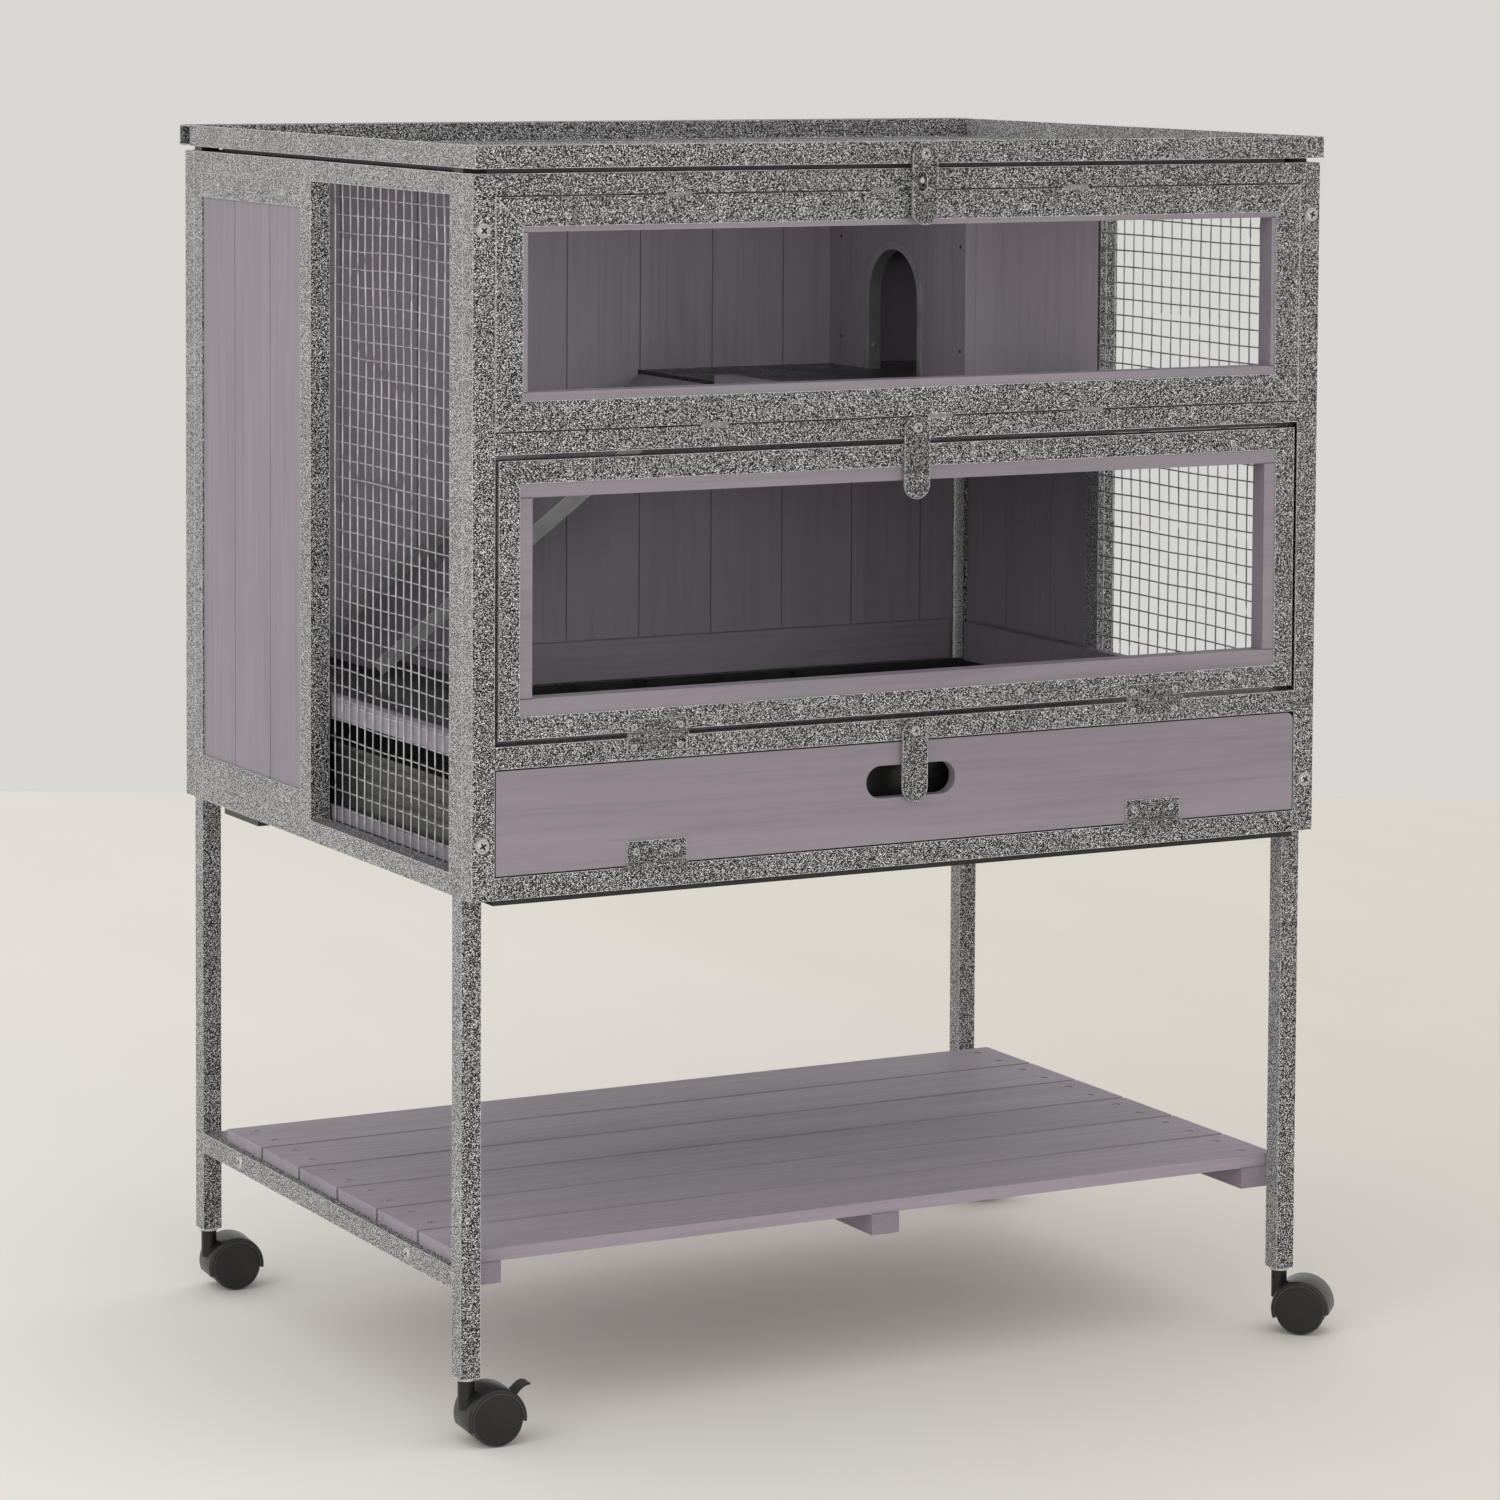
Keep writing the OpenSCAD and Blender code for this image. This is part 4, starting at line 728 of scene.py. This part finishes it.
def wire_places(node_name):
    """Where the CAD panel's upright wires lie in Y, and its level wires in Z."""
    low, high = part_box(node_name)
    found = ([], [])
    close = 1e-4
    for v in nodes[node_name].data.vertices:
        if abs(v.co.z - high.z) < close:
            found[0].append(v.co.y)
        if abs(v.co.y - low.y) < close:
            found[1].append(v.co.z)
    return [middles(values) for values in found]


def middles(values):
    """The middle of each cluster of values less than 3 mm apart."""
    apart = 0.003
    values = sorted(values)
    groups = [[values[0]]]
    for value in values[1:]:
        if value - groups[-1][-1] < apart:
            groups[-1].append(value)
        else:
            groups.append([value])
    return [(g[0] + g[-1]) / 2 for g in groups]


def add_wire(mesh, points, r, sides=6):
    """A thin wire along points that run mostly along Y or Z."""
    loops = []
    for p, q in zip(points, points[1:] + [points[-1]]):
        along = (q - p) if q != p else (points[-1] - points[-2])
        turn = along.to_track_quat("Z", "X")
        loops.append([mesh.verts.new(p + turn @ Vector((r * math.cos(a), r * math.sin(a), 0.0)))
                      for a in (2 * math.pi * i / sides for i in range(sides))])
    for one, two in zip(loops, loops[1:]):
        for i in range(sides):
            j = (i + 1) % sides
            mesh.faces.new((one[i], one[j], two[j], two[i]))
    mesh.faces.new(loops[0][::-1])
    mesh.faces.new(loops[-1])


def welded_mesh(node_name, way):
    """The welded mesh as it really hangs: slightly wavy, fast at its edges. way is outwards."""
    low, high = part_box(node_name)
    uprights, levels = wire_places(node_name)
    thick = high.x - low.x
    r = thick / 4
    outer = (high.x if way > 0 else low.x) - way * r
    inner = outer - way * 2 * r
    seed = 3.0 if way > 0 else 8.0

    def waver(y, z):
        """How far the mesh strays in X and sideways at a place."""
        across = min(y - low.y, high.y - y) / EDGE_HOLD
        down = min(z - low.z, high.z - z) / EDGE_HOLD
        hold = min(1.0, across, down)
        swell = noise_at((y * 6.0, z * 4.0, seed)) * WAVE_OUT
        aside = noise_at((y * 9.0, z * 7.0, seed + 5)) * WAVE_SIDE * hold
        return -way * abs(swell) * hold, aside

    mesh = bmesh.new()
    for k, y in enumerate(uprights):
        points = []
        for i in range(UPRIGHT_STEPS + 1):
            z = low.z + (high.z - low.z) * i / UPRIGHT_STEPS
            off, side = waver(y, z)
            lean = noise_at((k * 3.1, z * 5.0, seed + 9)) * LEAN
            points.append(Vector((outer + off, y + side + lean, z)))
        add_wire(mesh, points, r)
    for z in levels:
        points = []
        for i in range(LEVEL_STEPS + 1):
            y = low.y + (high.y - low.y) * i / LEVEL_STEPS
            off, side = waver(y, z)
            points.append(Vector((inner + off, y, z + side)))
        add_wire(mesh, points, r)
    o = emit(node_name + "_wires", mesh, "cabinet", finishes["galvanised_wire"])
    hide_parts(node_name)


def fit_out():
    """Makes every added piece, always in the same order."""
    corner_screws()
    strip_screws()
    sash_screws()
    hinge_screws()
    shelf_screws()
    weld_beads()
    welded_mesh("left_mesh", -1)
    welded_mesh("right_mesh", 1)
    room_screws()
    painted_shadow_seams()
    lip_joint_shadows()
    castors()


fit_out()


# ---------------------------------------------------------------- camera

LENS, SHIFT_UP = 121.77, -0.2831
CAMERA_AT = (-1.9121, -4.1326, 1.3390)  # from the point of the floor under the corner
VIEW_YAW, VIEW_PITCH, VIEW_ROLL = (math.radians(turn) for turn in (27.964, 3.844, 0.313))


def make_camera():
    """The photograph's camera."""
    data = bpy.data.cameras.new("camera")
    data.sensor_width = 36.0
    data.lens = LENS
    data.shift_y = SHIFT_UP
    data.clip_start, data.clip_end = 0.1, 100.0
    o = bpy.data.objects.new("camera", data)
    bpy.context.scene.collection.objects.link(o)
    flat = Vector((corner.x, corner.y, 0.0))
    o.location = flat + Vector(CAMERA_AT)
    ahead = Vector((math.sin(VIEW_YAW) * math.cos(VIEW_PITCH),
                    math.cos(VIEW_YAW) * math.cos(VIEW_PITCH), -math.sin(VIEW_PITCH)))
    right = Vector((math.cos(VIEW_YAW), -math.sin(VIEW_YAW), 0.0))
    up = right.cross(ahead)
    c, s = math.cos(VIEW_ROLL), math.sin(VIEW_ROLL)
    right, up = right * c + up * s, up * c - right * s
    o.rotation_mode = "QUATERNION"
    o.rotation_quaternion = Matrix((right, up, -ahead)).transposed().to_quaternion()
    bpy.context.scene.camera = o


make_camera()


# ---------------------------------------------------------------- floor and light

BEHIND = 3.25  # where along the level view direction the floor turns into the wall
WALL = (0.69, 0.68, 0.65)
FLOOR_HALF = 30


def seen_rays(tree):
    """1 for what is seen directly, through a pane or in a gloss, and 0 for the light that
    it gives."""
    rays = tree.nodes.new("ShaderNodeLightPath").outputs
    return maths(tree, "MAXIMUM", rays["Is Camera Ray"],
                 maths(tree, "MAXIMUM", rays["Is Transmission Ray"], rays["Is Glossy Ray"]))


def floor_material():
    """A pale floor, darker towards +X as painted light falloff, that turns into the pale wall's
    colour along a line behind the hutch.
    """
    made, tree, shader = new_material("floor")
    at = place(tree)
    grain = noise(tree, scaled(tree, at, (1.0, 0.3, 1.0)), 3.0, 3.0)
    across = add(tree, "ShaderNodeSeparateXYZ", {"Vector": at}).outputs["X"]
    # Painted light: the floor's tone darkens along X, from the left towards the right, as if
    # more light fell on the left.
    tone = ramp(tree, maths(tree, "MULTIPLY_ADD", across, 0.4),
                [(0.0, (0.90, 0.87, 0.83)), (1.0, (0.78, 0.73, 0.65))])
    feed(tree, shader, {
        "Base Color": blend(tree, 1.0, tone, ramp(tree, grain, [(0.3, 0.97), (0.7, 1.0)]),
                            "MULTIPLY"),
        "Roughness": 0.8,
    })
    ahead = (math.sin(VIEW_YAW), math.cos(VIEW_YAW), 0.0)
    reach = add(tree, "ShaderNodeVectorMath", {0: at, 1: ahead}, operation="DOT_PRODUCT")
    far = maths(tree, "GREATER_THAN", reach.outputs["Value"], BEHIND)
    wall = add(tree, "ShaderNodeEmission", {"Color": (*WALL, 1.0)})
    mix = tree.nodes.new("ShaderNodeMixShader")
    tree.links.new(maths(tree, "MULTIPLY", far, seen_rays(tree)), mix.inputs[0])
    tree.links.new(shader.outputs[0], mix.inputs[1])
    tree.links.new(wall.outputs[0], mix.inputs[2])
    tree.links.new(mix.outputs[0], tree.nodes["Material Output"].inputs["Surface"])
    return made


def make_floor():
    """One wide flat floor, which isn't part of the hutch."""
    far = FLOOR_HALF
    mesh = bpy.data.meshes.new("floor")
    mesh.from_pydata([(-far, -far, 0), (far, -far, 0), (far, far, 0), (-far, far, 0)], [],
                     [(0, 1, 2, 3)])
    mesh.materials.append(floor_material())
    o = bpy.data.objects.new("floor", mesh)
    bpy.context.scene.collection.objects.link(o)


def make_world():
    """Soft light that weakens towards the top, and a plain pale wall where it is seen."""
    world = bpy.data.worlds.new("studio")
    bpy.context.scene.world = world
    world.use_nodes = True
    tree = world.node_tree
    tree.nodes.clear()
    seen = add(tree, "ShaderNodeBackground", {"Color": (*WALL, 1.0), "Strength": 1.0})
    way = tree.nodes.new("ShaderNodeTexCoord").outputs["Generated"]
    height = add(tree, "ShaderNodeSeparateXYZ", {"Vector": way}).outputs["Z"]
    sky = ramp(tree, height, [(0.0, 0.95), (0.35, 0.72), (0.7, 0.62), (1.0, 0.55)])
    light = add(tree, "ShaderNodeBackground", {"Color": sky, "Strength": 1.45})
    mix = tree.nodes.new("ShaderNodeMixShader")
    out = tree.nodes.new("ShaderNodeOutputWorld")
    tree.links.new(seen_rays(tree), mix.inputs[0])
    tree.links.new(light.outputs[0], mix.inputs[1])
    tree.links.new(seen.outputs[0], mix.inputs[2])
    tree.links.new(mix.outputs[0], out.inputs["Surface"])


def area_light(name, at, target, size, power):
    """A square lamp of the given side in metres and power in watts, turned to its target."""
    data = bpy.data.lights.new(name, "AREA")
    data.shape = "SQUARE"
    data.size = size
    data.energy = power
    o = bpy.data.objects.new(name, data)
    bpy.context.scene.collection.objects.link(o)
    o.location = at
    o.rotation_mode = "QUATERNION"
    o.rotation_quaternion = (Vector(target) - Vector(at)).to_track_quat("-Z", "Y")
    return o


def room_light():
    """A weak strip over the upper window, so that the rooms behind the panes can be read."""
    low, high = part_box("window_pane")
    at = Vector((low.x + 0.36 * (high.x - low.x), high.y + 0.03, high.z - 0.004))
    o = area_light("room_light", at, at + Vector((-0.05, 0.5, -0.12)), 0.5, 0.95)
    o.data.shape = "RECTANGLE"
    o.data.size_y = 0.02
    o.visible_camera = o.visible_glossy = o.visible_transmission = False


bpy.context.scene.view_settings.view_transform = "Standard"
make_floor()
make_world()
area_light("left_light", (-3.6, -1.8, 2.4), (0.0, 0.0, 0.8), 2.4, 22.0)
area_light("front_light", (-0.4, -4.2, 1.6), (0.0, 0.0, 0.9), 2.0, 10.0)
room_light()
